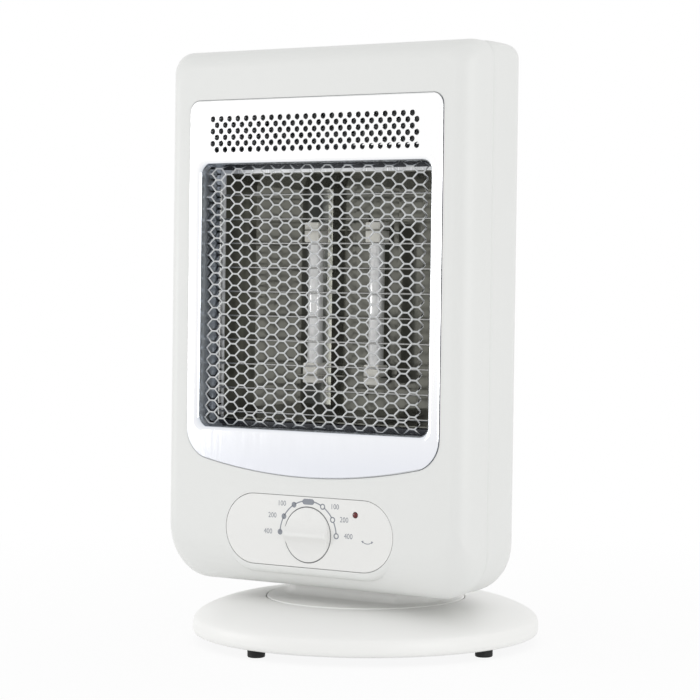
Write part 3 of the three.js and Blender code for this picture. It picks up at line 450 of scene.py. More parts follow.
def drawn_lines_group():
    """Rolled or drawn metal: fine lines along one direction and faint stains."""
    group, start, end = effect_group("drawn_lines", [
        ("Color", "color", (0.7, 0.7, 0.7, 1)), ("Line Stretch", "vector", (1.0, 1.0, 1.0)),
        ("Line Depth", "value", 0.1), ("Stain", "value", 0.1), ("Roughness", "value", 0.3),
    ])
    where = object_place(group)
    lines = noise(group, vector_node(group, "MULTIPLY", where, start["Line Stretch"]), 900.0, 2)
    tone = darkened(group, noise(group, where, 45.0, 4), start["Stain"])
    uneven = around_zero(group, lines, 0.2)
    return finish_effect(group, start, end, tone, uneven, lines, start["Line Depth"], 0.0001)


MOULDED = moulded_grain_group()
DRAWN = drawn_lines_group()


def material_from(name, group, values, plain):
    """A material whose colour, gloss and relief come from a shared effect."""
    material = bpy.data.materials.new(name)
    material.use_nodes = True
    tree = material.node_tree
    shader = tree.nodes["Principled BSDF"]
    effect = tree.nodes.new("ShaderNodeGroup")
    effect.node_tree = group
    for label, value in values.items():
        effect.inputs[label].default_value = value
    for label, value in plain.items():
        shader.inputs[label].default_value = value
    for label, target in (("Color", "Base Color"), ("Roughness",) * 2, ("Normal",) * 2):
        tree.links.new(effect.outputs[label], shader.inputs[target])
    material.diffuse_color = values["Color"]
    return material


def moulded(name, color, roughness, grain=0.1, scale=1600.0, tone=0.03, **plain):
    sockets = {label.replace("_", " "): value for label, value in plain.items()}
    return material_from(name, MOULDED, {
        "Color": srgb(*color), "Roughness": roughness, "Grain Depth": grain, "Grain Scale": scale,
        "Tone Change": tone,
    }, sockets)


def drawn(name, color, roughness, stretch, depth=0.1, stain=0.1, metallic=1.0):
    return material_from(name, DRAWN, {
        "Color": srgb(*color), "Roughness": roughness, "Line Stretch": stretch, "Line Depth": depth,
        "Stain": stain,
    }, {"Metallic": metallic})


def own_color(material):
    """A material's nodes, its shader's sockets and its effect's colour."""
    nodes = material.node_tree.nodes
    return material.node_tree, nodes["Principled BSDF"].inputs, nodes["Group"].outputs["Color"]


def polished_trim():
    """Mirror-finished plate: a painted reflection tints it cooler towards its lower edge, and
    painted shade makes it greyer inside the window, where it is also duller.
    """
    material = drawn("polished_trim", (255, 255, 255), 0.12, (1, 1, 0.02), 0.02, 0.01)
    tree, shader, color = own_color(material)
    where = object_place(tree)
    # Painted reflection: a cool tint in the base colour towards the plate's lower edge.
    rise = ramp(tree, height_of(tree, where), 0.11, 0.17)
    color = mixed(tree, rise, srgb(233, 235, 241), color)
    lean = math.radians(HEAD_LEAN)
    depth = vector_node(tree, "DOT_PRODUCT", where, (0, math.cos(lean), -math.sin(lean)))
    # Painted shade: the rolled lip turns grey in the base colour as it runs into the window.
    rolled = ramp(tree, depth, 0.001 * (TRIM_FRONT + 0.1), 0.001 * (TRIM_FRONT + 2.4))
    color = mixed(tree, rolled, color, srgb(208, 214, 223))
    tree.links.new(color, shader["Base Color"])
    dulled = ramp(tree, depth, 0.001 * (TRIM_FRONT + 2.4), 0.001 * (TRIM_FRONT + 3.6), 1, 0.65)
    tree.links.new(dulled, shader["Metallic"])
    return material


def zinc_sheet():
    """Galvanised sheet with the patchwork of its zinc crystals."""
    material = drawn("zinc_sheet", (176, 180, 182), 0.38, (1, 1, 1), 0.05, 0.12)
    tree, shader, color = own_color(material)
    cells = tree.nodes.new("ShaderNodeTexVoronoi")
    cells.inputs["Scale"].default_value = 160
    tree.links.new(object_place(tree), cells.inputs["Vector"])
    grey = tree.nodes.new("ShaderNodeRGBToBW")
    tree.links.new(cells.outputs["Color"], grey.inputs[0])
    tone = math_node(tree, "ADD", math_node(tree, "MULTIPLY", grey.outputs[0], 0.25), 0.8)
    tree.links.new(mixed(tree, 1, color, tone, "MULTIPLY"), shader["Base Color"])
    return material


def frame_sheet():
    """Bright sheet with painted shade on its margin above and below the window, where it lies out
    of the light.
    """
    material = drawn("frame_sheet", (240, 241, 243), 0.25, (1, 1, 0.05), 0.05, 0.05, 0.5)
    tree, shader, color = own_color(material)
    height = height_of(tree, object_place(tree))
    # Painted shade: the band above and below the window takes a dark grey base colour.
    above = math_node(tree, "GREATER_THAN", height, 0.001 * (WINDOW[2] - 1.6))
    below = math_node(tree, "LESS_THAN", height, 0.001 * (WINDOW[1] + 5))
    painted_shade = math_node(tree, "MAXIMUM", above, below)
    tree.links.new(mixed(tree, painted_shade, color, srgb(66, 68, 72)), shader["Base Color"])
    return material


WHITE = moulded("moulded_white", (233, 234, 232), 0.42, 0.06)
BASE_WHITE = moulded("base_white", (248, 248, 246), 0.4, 0.06)
PANEL_WHITE = moulded("panel_white", (238, 238, 236), 0.36, 0.03)
TRIM = polished_trim()
GUARD = drawn("guard_steel", (186, 188, 189), 0.36, (1, 1, 1), 0.1, 0.12, 0.8)
BRIGHT_WIRE = drawn("bright_wire", (190, 190, 188), 0.25, (0.05, 1, 1), 0.1, 0.15)
REFLECTOR = drawn("reflector_polish", (126, 126, 118), 0.1, (0.25, 0.25, 0.01), 0.7, 0.25, 0.7)
FRAME_SHEET = frame_sheet()
DUCT = drawn("duct_sheet", (206, 214, 226), 0.14, (1, 1, 0.05), 0.1, 0.15, 0.4)
ZINC = zinc_sheet()
FROSTED = moulded("frosted_quartz", (254, 254, 253), 0.3, 0.1, 1200.0, 0.02,
                  Transmission_Weight=0.1, IOR=1.8, Coat_Weight=1.0, Coat_IOR=2.4,
                  Coat_Roughness=0.08)
TUNGSTEN = drawn("tungsten", (120, 96, 74), 0.45, (1, 1, 1), 0.2, 0.2)
CERAMIC = moulded("steatite", (240, 238, 230), 0.6, 0.35, 900.0, 0.06)
GREY = moulded("grey_moulding", (92, 96, 100), 0.55, 0.15)
RED = moulded("red_lens", (96, 14, 16), 0.25, 0.02, Coat_Weight=0.15)
STEEL = drawn("plain_steel", (150, 153, 155), 0.35, (1, 1, 1), 0.15, 0.2)
RUBBER = moulded("black_rubber", (30, 30, 30), 0.75, 0.4, 900.0, 0.2)
PRINT = moulded("print_grey", (142, 146, 154), 0.5, 0.03)
# Painted shade for the gap round the knob.
GAP_SHADE = moulded("painted_gap_shade", (128, 129, 130), 0.8, 0.4, 900.0, 0.2)

# ---- modelling helpers


def everything(mesh):
    return mesh.verts[:] + mesh.edges[:] + mesh.faces[:]


def moved(mesh, x=0.0, y=0.0, z=0.0):
    bmesh.ops.translate(mesh, verts=mesh.verts, vec=(x, y, z))
    return mesh


def placed(mesh, matrix):
    bmesh.ops.transform(mesh, verts=mesh.verts, matrix=matrix)
    return mesh


def outward(mesh):
    bmesh.ops.recalc_face_normals(mesh, faces=mesh.faces)
    return mesh


def merged(mesh, distance=1e-4):
    bmesh.ops.remove_doubles(mesh, verts=mesh.verts, dist=distance)
    return mesh


def only(kind, parts):
    return [part for part in parts if isinstance(part, kind)]


def quarter(steps):
    """A quarter circle in even steps: the share gone sideways and the share left to run."""
    angles = [math.pi / 2 * step / steps for step in range(1, steps + 1)]
    return [(1 - math.cos(angle), 1 - math.sin(angle)) for angle in angles]


def share_between(value, start, end):
    """How far a value has come from start to end, 0 to 1."""
    return min(max((value - start) / (end - start), 0), 1)


def cut_corners(mesh, corners, radius, segments):
    bmesh.ops.bevel(mesh, geom=corners, offset=radius, offset_type="OFFSET", affect="VERTICES",
                    segments=segments, profile=0.5, material=-1)


def rounded_edges(mesh, edges, radius, segments):
    bmesh.ops.bevel(mesh, geom=edges, offset=radius, offset_type="OFFSET", affect="EDGES",
                    segments=segments, profile=0.5, material=-1)


def block(width, depth, height):
    """A plain box about the origin."""
    mesh = bmesh.new()
    bmesh.ops.create_cube(mesh, size=1)
    bmesh.ops.scale(mesh, verts=mesh.verts, vec=(width, depth, height))
    return mesh


def panel(half, low, high, low_radius, high_radius, steps=8):
    """An upright face in the plane y = 0 with rounded corners, looking forwards."""
    mesh = bmesh.new()
    bmesh.ops.create_grid(mesh, x_segments=1, y_segments=1, size=0.5)
    bmesh.ops.rotate(mesh, verts=mesh.verts, matrix=Matrix.Rotation(math.pi / 2, 3, "X"))
    bmesh.ops.scale(mesh, verts=mesh.verts, vec=(2 * half, 1, high - low))
    middle = (low + high) / 2
    moved(mesh, z=middle)
    lower = [vert for vert in mesh.verts if vert.co.z < middle]
    upper = [vert for vert in mesh.verts if vert.co.z > middle]
    for corners, radius in ((lower, low_radius), (upper, high_radius)):
        if radius:
            cut_corners(mesh, corners, radius, steps)
    return mesh


def drawn_out(mesh, cap, first):
    """Draws a cap out of a solid; only the first cap stays behind, as the far end."""
    made = bmesh.ops.extrude_face_region(mesh, geom=cap, use_keep_orig=True)
    if not first:
        bmesh.ops.delete(mesh, geom=cap, context="FACES_ONLY")
    return only(bmesh.types.BMVert, made["geom"]), only(bmesh.types.BMFace, made["geom"])


def station(depth, half, low, high, inset):
    """An outline at a depth, drawn in all round by the inset."""
    return (depth, half - inset, low + inset, high - inset)


def carry(mesh, stations):
    """Carries the only face from station to station of (depth, half width, low, high)."""
    front = mesh.faces[:]
    moved(mesh, y=stations[0][0])
    for here, there in zip(stations, stations[1:]):
        verts, front = drawn_out(mesh, front, here is stations[0])
        taller = (there[3] - there[2]) / (here[3] - here[2])
        grow = Matrix.Diagonal((there[1] / here[1], 1, taller, 1))
        away = Matrix.Translation((0, -here[0], -here[2]))
        back = Matrix.Translation((0, there[0], there[2]))
        bmesh.ops.transform(mesh, verts=verts, matrix=back @ grow @ away)
    return outward(mesh)


def loft(stations, low_radius, high_radius, steps=8):
    """A solid through its stations, with the corners of the first one rounded."""
    _, half, low, high = stations[0]
    return carry(panel(half, low, high, low_radius, high_radius, steps), stations)


def slab(half, low, high, radius, front, back, edge=0.0, steps=8):
    """A rounded plate between two depths, with its front edge eased."""
    stations = [(back, half, low, high), (front + edge, half, low, high)]
    if edge:
        stations.append(station(front + 0.3 * edge, half, low, high, 0.3 * edge))
        stations.append(station(front, half, low, high, edge))
    return loft(stations, radius, radius, steps)


def turned(profile, segments=96):
    """A profile of (radius, height) turned about Z; it closes on itself or on the axis."""
    mesh = bmesh.new()
    points = [mesh.verts.new((radius, 0, height)) for radius, height in profile]
    open_ended = profile[0][0] == 0 and profile[-1][0] == 0
    ends = zip(points, points[1:]) if open_ended else zip(points, points[1:] + points[:1])
    edges = [mesh.edges.new(pair) for pair in ends]
    bmesh.ops.spin(mesh, geom=points + edges, cent=(0, 0, 0), axis=(0, 0, 1), angle=2 * math.pi,
                   steps=segments, use_merge=True)
    return outward(merged(mesh))


def band(inner, outer, low, high, segments=96):
    """A square-edged ring standing on Z, or a solid bar when it has no bore."""
    return turned([(inner, low), (outer, low), (outer, high), (inner, high)], segments)


def rod(radius, low, high, segments, edge):
    """A round bar standing on Z, its ends eased."""
    return turned([(0, low), (radius - edge, low), (radius, low + edge), (radius, high - edge),
                   (radius - edge, high), (0, high)], segments)


def facing(mesh, x, z, depth=0.0):
    """Lays a piece that was turned about Z so that its top looks forwards at (x, z)."""
    return placed(mesh, Matrix.Translation((x, depth, z)) @ Matrix.Rotation(math.pi / 2, 4, "X"))


def bar(x, z, radius, front, back, segments=24):
    """A round bar along Y between two depths."""
    return facing(band(0, radius, -back, -front, segments), x, z)


def together(*meshes):
    """Several closed meshes as one."""
    whole = meshes[0]
    for mesh in meshes[1:]:
        part = mesh_data("part", mesh)
        whole.from_mesh(part)
        bpy.data.meshes.remove(part)
    return whole


def carve(mesh, *tools, operation="DIFFERENCE"):
    """Takes closed tools out of a mesh, joins them to it or keeps what they share."""
    objects = [new_object(f"blank_{number}", mesh_data("blank", part))
               for number, part in enumerate((mesh, *tools))]
    for tool in objects[1:]:
        cut = objects[0].modifiers.new("cut", "BOOLEAN")
        cut.solver = "EXACT"
        cut.operation = operation
        cut.object = tool
    result = shaped_mesh(objects[0])
    for thing in objects:
        data = thing.data
        bpy.data.objects.remove(thing)
        bpy.data.meshes.remove(data)
    return merged(result)


def piece(name, mesh, material, body, stands_for=(), place=HEAD, crease=35, broad=False):
    """One finished piece: placed in its mesh, smoothed up to its creases, riding on a body."""
    for side in placed(mesh, place).faces:
        side.smooth = True
    for edge in mesh.edges:
        if len(edge.link_faces) == 2 and edge.calc_face_angle(0) > math.radians(crease):
            edge.smooth = False
    thing = new_object(name, mesh_data(name, mesh))
    thing.data.materials.append(material)
    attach(thing, body)
    if stands_for:
        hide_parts(*stands_for)
    if broad:  # flat faces stay flat where they meet a soft edge
        weighted = thing.modifiers.new("even_shading", "WEIGHTED_NORMAL")
        weighted.keep_sharp = True
        weighted.weight = 100


# ---- head casing


def front_form(inset, back, steps):
    """The front casing's outer form, or its hollow when inset by the wall."""
    half, low, high = HEAD_HALF - inset, HEAD_BOTTOM + inset, HEAD_TOP - inset
    start = FACE + ROLL_DEPTH
    front = FACE + inset
    stations = [(back, half, low, high), (start, half, low, high)]
    for share, left in quarter(steps):
        roll = ROLL_WIDTH * share
        depth = front + (start - front) * left
        stations.append((depth, half - roll, low + CHIN * share, high - roll))
    if not inset:
        stations.append(station(*stations[-1], FACE_EDGE))
    return loft(stations, BOTTOM_CORNER - inset, TOP_CORNER - inset, 10)


def trim_outline(inset):
    """Straight sides and top, and a lower edge that hangs in one long curve."""
    mesh = panel(TRIM_HALF - inset, TRIM_BOTTOM + inset, TRIM_TOP - inset,
                 TRIM_LOWER_CORNER, TRIM_UPPER_CORNER)
    lowest = min(vert.co.z for vert in mesh.verts)
    bottom = [edge for edge in mesh.edges
              if all(abs(vert.co.z - lowest) < 0.01 for vert in edge.verts)]
    bmesh.ops.subdivide_edges(mesh, edges=bottom, cuts=24)
    for vert in mesh.verts:
        if vert.co.z < (TRIM_BOTTOM + TRIM_TOP) / 2:
            vert.co.z += TRIM_SAG * (vert.co.x / SAG_REACH) ** 2
    return mesh


def trim_slab(inset, front, back, edge=0.0):
    """The trim plate's form between two depths."""
    half, low, high = TRIM_HALF - inset, TRIM_BOTTOM + inset, TRIM_TOP - inset
    stations = [(back, half, low, high), (front + edge, half, low, high)]
    if edge:
        stations.append(station(front, half, low, high, edge))
    return carry(trim_outline(inset), stations)


def control_slab(grow, front, back, edge=0.0):
    """The control panel's form, or its recess when grown by a clearance."""
    height = PANEL_RISE + grow
    return slab(PANEL_REACH + grow, PANEL_MIDDLE - height, PANEL_MIDDLE + height,
                ROUND_END * height, front, back, edge, 16)


def control_pad():
    """Raised pad that carries the control panel clear of the receding chin."""
    height = PANEL_RISE + PAD_MARGIN
    shape = (PANEL_REACH + PAD_MARGIN, PANEL_MIDDLE - height, PANEL_MIDDLE + height)
    stations = [(FACE + PAD_DEPTH, *shape), (FACE + PAD_EDGE, *shape)]
    for share, left in quarter(6):
        stations.append(station(FACE + PAD_SINK + PAD_EDGE * left, *shape, PAD_EDGE * share))
    return loft(stations, ROUND_END * height, ROUND_END * height, 16)


def front_shell():
    """Front casing with its recesses and holes."""
    mesh = carve(front_form(0, SEAM, 12), control_pad(), operation="UNION")
    mesh = carve(
        mesh,
        front_form(WALL, SEAM + 1, 6),
        trim_slab(-TRIM_FIT, FACE - 3, TRIM_BACK + GAP),
        trim_slab(TRIM_LEDGE, FACE - 3, FACE + WALL + 1),
        control_slab(PANEL_FIT, FACE - 3, FACE + PANEL_THICK + GAP),
        bar(0, KNOB_MIDDLE, SHAFT_HOLE, FACE - 3, FACE + 19, 32),
        bar(*INDICATOR, LENS_BORE, FACE - 3, FACE + 19),
    )
    piece("front_shell_moulding", mesh, WHITE, "head", ["front_shell"],
          broad=True)


def rear_half(depth, inset):
    """Half width of the back casing, which closes in a half-ellipse."""
    flat = HEAD_HALF - SEAM_STEP - REAR_CURVE
    share = share_between(depth, SEAM + REAR_STRAIGHT, REAR - inset)
    return flat + (REAR_CURVE - inset) * math.sqrt(1 - share * share)


def rear_form(inset, front, steps):
    """The back casing's outer form, or its hollow when inset by the wall."""
    low, high = HEAD_BOTTOM + SEAM_STEP + inset, HEAD_TOP - inset
    half = rear_half(front, inset)
    if inset:
        stations = [(front, half, low, high)]
    else:
        stations = [station(front + run, half, low, high, pull) for run, pull in REAR_EASE]
    back = REAR - inset
    straight = SEAM + REAR_STRAIGHT
    for _, left in [(0, 1)] + quarter(steps):
        depth = back + (straight - back) * left
        share = share_between(depth, back - REAR_ROLL_DEPTH, back)
        pull = REAR_ROLL_WIDTH * (1 - math.sqrt(1 - share * share))
        stations.append((depth, rear_half(depth, inset), low + pull, high - pull))
    return loft(stations, REAR_LOWER_CORNER - inset, REAR_CORNER - inset, 10)


def at_screws(radius, front, back, segments=24):
    return together(*[bar(x, z, radius, front, back, segments) for x, z in CASING_SCREWS])


def back_shell():
    """Back casing with its ventilation slots and screw wells."""
    bosses = carve(at_screws(SCREW_BOSS, SEAM + GAP, REAR), rear_form(0.02, SEAM + GAP, 16),
                   operation="INTERSECT")
    shell = carve(rear_form(0, SEAM + SEAM_GROOVE, 16), rear_form(WALL, SEAM - 1, 10))
    shell = carve(shell, bosses, operation="UNION")
    slots = [slab(SLOT_HALF, low, low + SLOT_HEIGHT, SLOT_CORNER, REAR - 22, REAR + 1, steps=5)
             for lowest, count in SLOT_BLOCKS
             for low in range(lowest, lowest + SLOT_PITCH * count, SLOT_PITCH)]
    mesh = carve(
        shell,
        at_screws(SCREW_WELL, SCREW_SEAT, REAR + 1),
        at_screws(SCREW_BORE, SEAM - 1, REAR, 12),
        together(*slots),
        band(0, HUB_RADIUS + 1, HEAD_BOTTOM - 2, HEAD_BOTTOM + 8, 48),
    )
    piece("back_shell_moulding", mesh, WHITE, "head", ["back_shell"], broad=True)


# ---- trim plate, guard and wires


def window_cutter():
    """The window's opening, flared where the plate's edge is rolled inwards."""
    stations = [(LIP_BACK + 1, *WINDOW), (TRIM_FRONT + WINDOW_ROLL, *WINDOW)]
    for share, left in quarter(7):
        stations.append(station(TRIM_FRONT + WINDOW_ROLL * left, *WINDOW, -WINDOW_ROLL * share))
    stations.append(station(TRIM_FRONT - 2, *WINDOW, -WINDOW_ROLL))
    return loft(stations, WINDOW_CORNER, WINDOW_CORNER)


def vent_cutters():
    """Staggered rows of round holes, each with a broken edge."""
    wide = VENT_RADIUS + VENT_EDGE
    profile = [(0, -TRIM_BACK - 1), (VENT_RADIUS, -TRIM_BACK - 1),
               (VENT_RADIUS, -TRIM_FRONT - VENT_EDGE), (wide, -TRIM_FRONT),
               (wide, -TRIM_FRONT + 1), (0, -TRIM_FRONT + 1)]
    holes = []
    for row in range(VENT_ROWS):
        shift = VENT_PITCH / 4 * (1 if row % 2 else -1)
        for column in range(VENT_COLUMNS):
            x = (column - (VENT_COLUMNS - 1) / 2) * VENT_PITCH + shift
            holes.append(facing(turned(profile, 18), x, VENT_TOP_ROW - VENT_ROW_PITCH * row))
    return together(*holes)


def window_ring(wall, back):
    """A solid that stands out past the window by its wall, all round."""
    half, low, high = WINDOW
    return slab(half + wall, low - wall, high + wall, WINDOW_CORNER + wall, TRIM_BACK - 1, back)


def trim_plate():
    """Polished plate with its vents and the lip that leads in through the window."""
    mesh = carve(trim_slab(0, TRIM_FRONT, TRIM_BACK, 0.5), window_ring(LIP_WALL, LIP_BACK),
                 window_ring(LIP_WALL + 1.7, TRIM_BACK + 1.5), operation="UNION")
    mesh = carve(mesh, window_cutter(), vent_cutters())
    piece("trim_plate_polished", mesh, TRIM, "head", ["trim_plate"], crease=30,
          broad=True)


def flat_net(low):
    """Hexagonal cells, cut down to strips of half a strand along their sides."""
    mesh = bmesh.new()
    turn = Matrix.Rotation(math.pi / 2, 4, "X") @ Matrix.Rotation(math.pi / 2, 4, "Z")
    for number in range(25):
        x = NET_RIGHT + CELL_COLUMN - CELL_TIP - CELL_COLUMN * number
        shift = CELL_ROW / 2 if number % 2 else 0
        for level in range(25):
            cell = bmesh.ops.create_circle(mesh, cap_ends=True, segments=6,
                                           radius=CELL_ROW / math.sqrt(3))["verts"]
            bmesh.ops.transform(mesh, verts=cell, matrix=turn)
            for vert in cell:
                reach = CELL_TIP if abs(vert.co.x) > 3 else CELL_FLAT
                vert.co.x = math.copysign(reach, vert.co.x)
            bmesh.ops.translate(mesh, verts=cell, vec=(x, 0, low - 8 + shift + CELL_ROW * level))
    merged(mesh, 0.05)
    centres = set(mesh.verts)
    strips = set(bmesh.ops.inset_individual(mesh, faces=mesh.faces[:], use_even_offset=True,
                                            thickness=STRAND_WIDTH / 2)["faces"])
    cells = [side for side in mesh.faces if side not in strips]
    bmesh.ops.delete(mesh, geom=cells, context="FACES_ONLY")
    beyond = [side for side in mesh.faces if side.calc_center_median().x > NET_RIGHT + 0.3
              or any(edge.is_boundary and centres.issuperset(edge.verts) for edge in side.edges)]
    bmesh.ops.delete(mesh, geom=beyond, context="FACES")
    return mesh


def mesh_guard():
    """Stretched hexagonal net: each strand has a rounded section, and its edges fold back."""
    low, high = WINDOW[1] + NET_MARGIN, WINDOW[2] - NET_MARGIN
    mesh = flat_net(low)
    for vert in mesh.verts:
        vert.co.y = 0 if vert.is_boundary else -STRAND_THICK / 2
    twin = bmesh.ops.duplicate(mesh, geom=everything(mesh))["geom"]
    bmesh.ops.scale(mesh, verts=only(bmesh.types.BMVert, twin), vec=(1, -1, 1))
    merged(mesh, 1e-3)
    bmesh.ops.rotate(mesh, verts=mesh.verts, cent=(0, 0, NET_MIDDLE), matrix=NET_SKEW)
    moved(mesh, NET_SHIFT[0], FACE + NET_SET_BACK + STRAND_THICK / 2, NET_SHIFT[1])
    for vert in mesh.verts:
        aside = max(NET_LEFT - vert.co.x, 0)
        below = max(low - vert.co.z, 0)
        above = max(vert.co.z - high, 0)
        vert.co += Vector((aside, aside + below + above, below - above))
    piece("mesh_guard_net", outward(mesh), GUARD, "head", ["mesh_guard"], crease=80)


def guard_wires():
    """Thin level bars welded to two uprights."""
    depth = FRAME_FRONT - GAP - 1.2
    reach = WINDOW[0] + LIP_WALL - 1.4
    lowest = WIRE_TOP - WIRE_PITCH * (WIRE_COUNT - 1)
    bars = []
    for number in range(WIRE_COUNT):
        wire = rod(WIRE_RADIUS, -reach, reach, 12, 0.1)
        level = Matrix.Translation((0, depth, WIRE_TOP - WIRE_PITCH * number))
        bars.append(placed(wire, level @ Matrix.Rotation(math.pi / 2, 4, "Y")))
    for side in (-1, 1):
        upright = rod(UPRIGHT_RADIUS, lowest - 4, WIRE_TOP + 4, 14, 0.2)
        bars.append(moved(upright, side * reach, depth))
    piece("guard_wires_welded", together(*bars), BRIGHT_WIRE, "head",
          ["guard_wires"])


# ---- lamps


def coil(start):
    """Fine wire wound about Z from a starting height."""
    wire = bmesh.new()
    bmesh.ops.create_circle(wire, cap_ends=True, segments=6, radius=COIL_WIRE)
    facing(wire, COIL_RADIUS, start)
    steps = 18
    bmesh.ops.spin(wire, geom=everything(wire), cent=(0, 0, 0), axis=(0, 0, 1),
                   dvec=(0, 0, COIL_PITCH / steps), angle=2 * math.pi * COIL_TURNS,
                   steps=COIL_TURNS * steps)
    return outward(wire)


def lamp(side, x):
    """A quartz tube with its wound filament, and at each end a fired cap and a seal."""
    half = TUBE_LENGTH / 2
    low, high = LAMP_MIDDLE - half, LAMP_MIDDLE + half
    rim = TUBE_RADIUS - 0.2
    tube = turned([(TUBE_BORE, low), (rim, low), (TUBE_RADIUS, low + 0.3),
                   (TUBE_RADIUS, high - 0.3), (rim, high), (TUBE_BORE, high)], 40)
    piece(f"quartz_tube_{side}_drawn", moved(tube, x, LAMP_Y), FROSTED, "head",
          [f"quartz_tube_{side}"])
    piece(f"filament_{side}_wound", moved(coil(low + COIL_START), x, LAMP_Y), TUNGSTEN, "head",
          [f"filament_{side}"])
    for end, name in ((1, "upper"), (-1, "lower")):
        mouth = LAMP_MIDDLE + end * (half - CAP_OVERLAP)
        middle = mouth + end * CAP_LENGTH / 2
        cap = block(CAP_SIZE, CAP_SIZE, CAP_LENGTH)
        rounded_edges(cap, cap.edges[:], 0.7, 3)
        socket = band(0, CAP_BORE, *sorted((mouth - end, middle)), 32)
        mesh = carve(moved(cap, x, LAMP_Y, middle), moved(socket, x, LAMP_Y))
        piece(f"lamp_cap_{side}_{name}_fired", mesh, CERAMIC, "head",
              [f"lamp_cap_{side}_{name}"])
        ends = sorted(LAMP_MIDDLE + end * (half - inwards) for inwards in SEAL_REACH)
        seal = moved(rod(SEAL_RADIUS, *ends, 24, 0.8), x, LAMP_Y)
        piece(f"lamp_seal_{side}_{name}", seal, STEEL, "head")


# ---- control panel


def control_panel():
    """Flush plate, bored for the knob and the lens."""
    mesh = carve(
        control_slab(0, FACE, FACE + PANEL_THICK, 0.25),
        bar(0, KNOB_MIDDLE, KNOB_RADIUS + 0.65, FACE - 3, FACE + 2, 72),
        bar(*INDICATOR, LENS_BORE, FACE - 3, FACE + 2),
    )
    piece("control_panel_plate", mesh, PANEL_WHITE, "head", ["control_panel"],
          broad=True)


def on_knob_axis(mesh):
    return facing(mesh, 0, KNOB_MIDDLE, FACE)


def knob():
    """Shallow disc with one soft ridge across its middle to turn it by."""
    back, front = -PANEL_THICK, KNOB_FRONT
    disc = turned([
        (0, back), (KNOB_RADIUS, back), (KNOB_RADIUS, front - 0.35),
        (KNOB_RADIUS - 0.1, front - 0.1), (KNOB_RADIUS - 0.35, front), (0, front),
    ])
    stations = [(FACE - front - rise, RIDGE_REACH - 0.25 * max(rise, 0),
                 KNOB_MIDDLE - half, KNOB_MIDDLE + half) for rise, half in KNOB_RIDGE]
    bounds = turned([
        (0, 0), (KNOB_RADIUS - 0.5, 0), (KNOB_RADIUS - 0.8, front + 2),
        (KNOB_RADIUS - 1.6, front + 5), (0, front + 5),
    ])
    grip = carve(loft(stations, 0.4, 0.4, 2), on_knob_axis(bounds), operation="INTERSECT")
    mesh = carve(on_knob_axis(disc), grip, operation="UNION")
    piece("knob_moulding", mesh, PANEL_WHITE, "knob", ["knob"], crease=40,
          broad=True)
    # A grey ring in the gap round the knob is painted shade: it stands for the shadow in the gap.
    ring = band(KNOB_RADIUS + 0.08, KNOB_RADIUS + 0.6, back, -0.12)
    piece("knob_gap_shade_ring", on_knob_axis(ring), GAP_SHADE, "head")


def printed(parts):
    """Thin ink, just proud of the panel."""
    return facing(together(*parts), MARK_SHIFT, MARK_MIDDLE, FACE)


def mark_place(angle, radius=MARK_RADIUS):
    """Where an angle from the upright meets a circle."""
    turn = math.radians(angle)
    return (radius * math.sin(turn), radius * math.cos(turn))


def dot(inner, outer, angle):
    return moved(band(inner, outer, 0, INK, 32), *mark_place(angle))


def ink_arc(radius, half_width, start, end):
    """A printed line along part of a circle, between two angles from the upright."""
    arc = bmesh.new()
    line = [arc.verts.new((0, radius + side, height)) for side, height in
            ((-half_width, 0), (half_width, 0), (half_width, INK), (-half_width, INK))]
    bmesh.ops.contextual_create(arc, geom=line)
    placed(arc, Matrix.Rotation(math.radians(-start), 4, "Z"))
    bmesh.ops.spin(arc, geom=everything(arc), cent=(0, 0, 0), axis=(0, 0, 1),
                   angle=math.radians(start - end), steps=8)
    return outward(arc)


def swing_mark():
    """A small curved double arrow."""
    parts = [ink_arc(ARROW_RADIUS, 0.22, 145, 215)]
    for angle, turn in ((141, 141), (219, 39)):
        head = placed(band(0, 0.95, 0, INK, 3), Matrix.Rotation(math.radians(turn), 4, "Z"))
        parts.append(moved(head, *mark_place(angle, ARROW_RADIUS)))
    return moved(together(*parts), *ARROW_PLACE)


def dial_marks():
    """Filled and open marks, an off mark between them, the arc that joins them, an arrow."""
    parts = [dot(0, 1.7, angle) for angle in FILLED_MARKS]
    parts += [dot(1.1, 1.8, angle) for angle in OPEN_MARKS]
    pill = block(8.4, 3.4, INK)
    upright = [edge for edge in pill.edges
               if abs(edge.verts[0].co.z - edge.verts[1].co.z) > INK / 2]
    rounded_edges(pill, upright, 1.69, 8)
    parts.append(moved(pill, 0, MARK_RADIUS - 0.5, INK / 2))
    parts += [ink_arc(MARK_RADIUS, 0.36, start, end) for start, end in MARK_SPANS]
    parts.append(swing_mark())
    piece("dial_marks", printed(parts), PRINT, "head")


def dial_numbers():
    parts = []
    for text, x, z in NUMBERS:
        curve = bpy.data.curves.new("number", "FONT")
        curve.body = text
        curve.size = 4.4
        curve.extrude = INK / 2
        curve.align_x = "CENTER"
        curve.align_y = "CENTER"
        curve.resolution_u = 3
        thing = new_object("number", curve)
        mesh = shaped_mesh(thing)
        bpy.data.objects.remove(thing)
        bpy.data.curves.remove(curve)
        bmesh.ops.scale(mesh, verts=mesh.verts, vec=(NUMBER_WIDTH, 1, 1))
        parts.append(moved(mesh, x, z, INK / 2))
    piece("dial_numbers", printed(parts), PRINT, "head")


def indicator():
    profile = [(0, -2), (1.6, -2), (1.6, 0), (1.45, 0.25), (1.0, 0.45), (0.5, 0.56), (0, 0.6)]
    piece("indicator_lens_dome", facing(turned(profile, 32), *INDICATOR, FACE), RED, "head",
          ["indicator_lens"])


# ---- base and neck


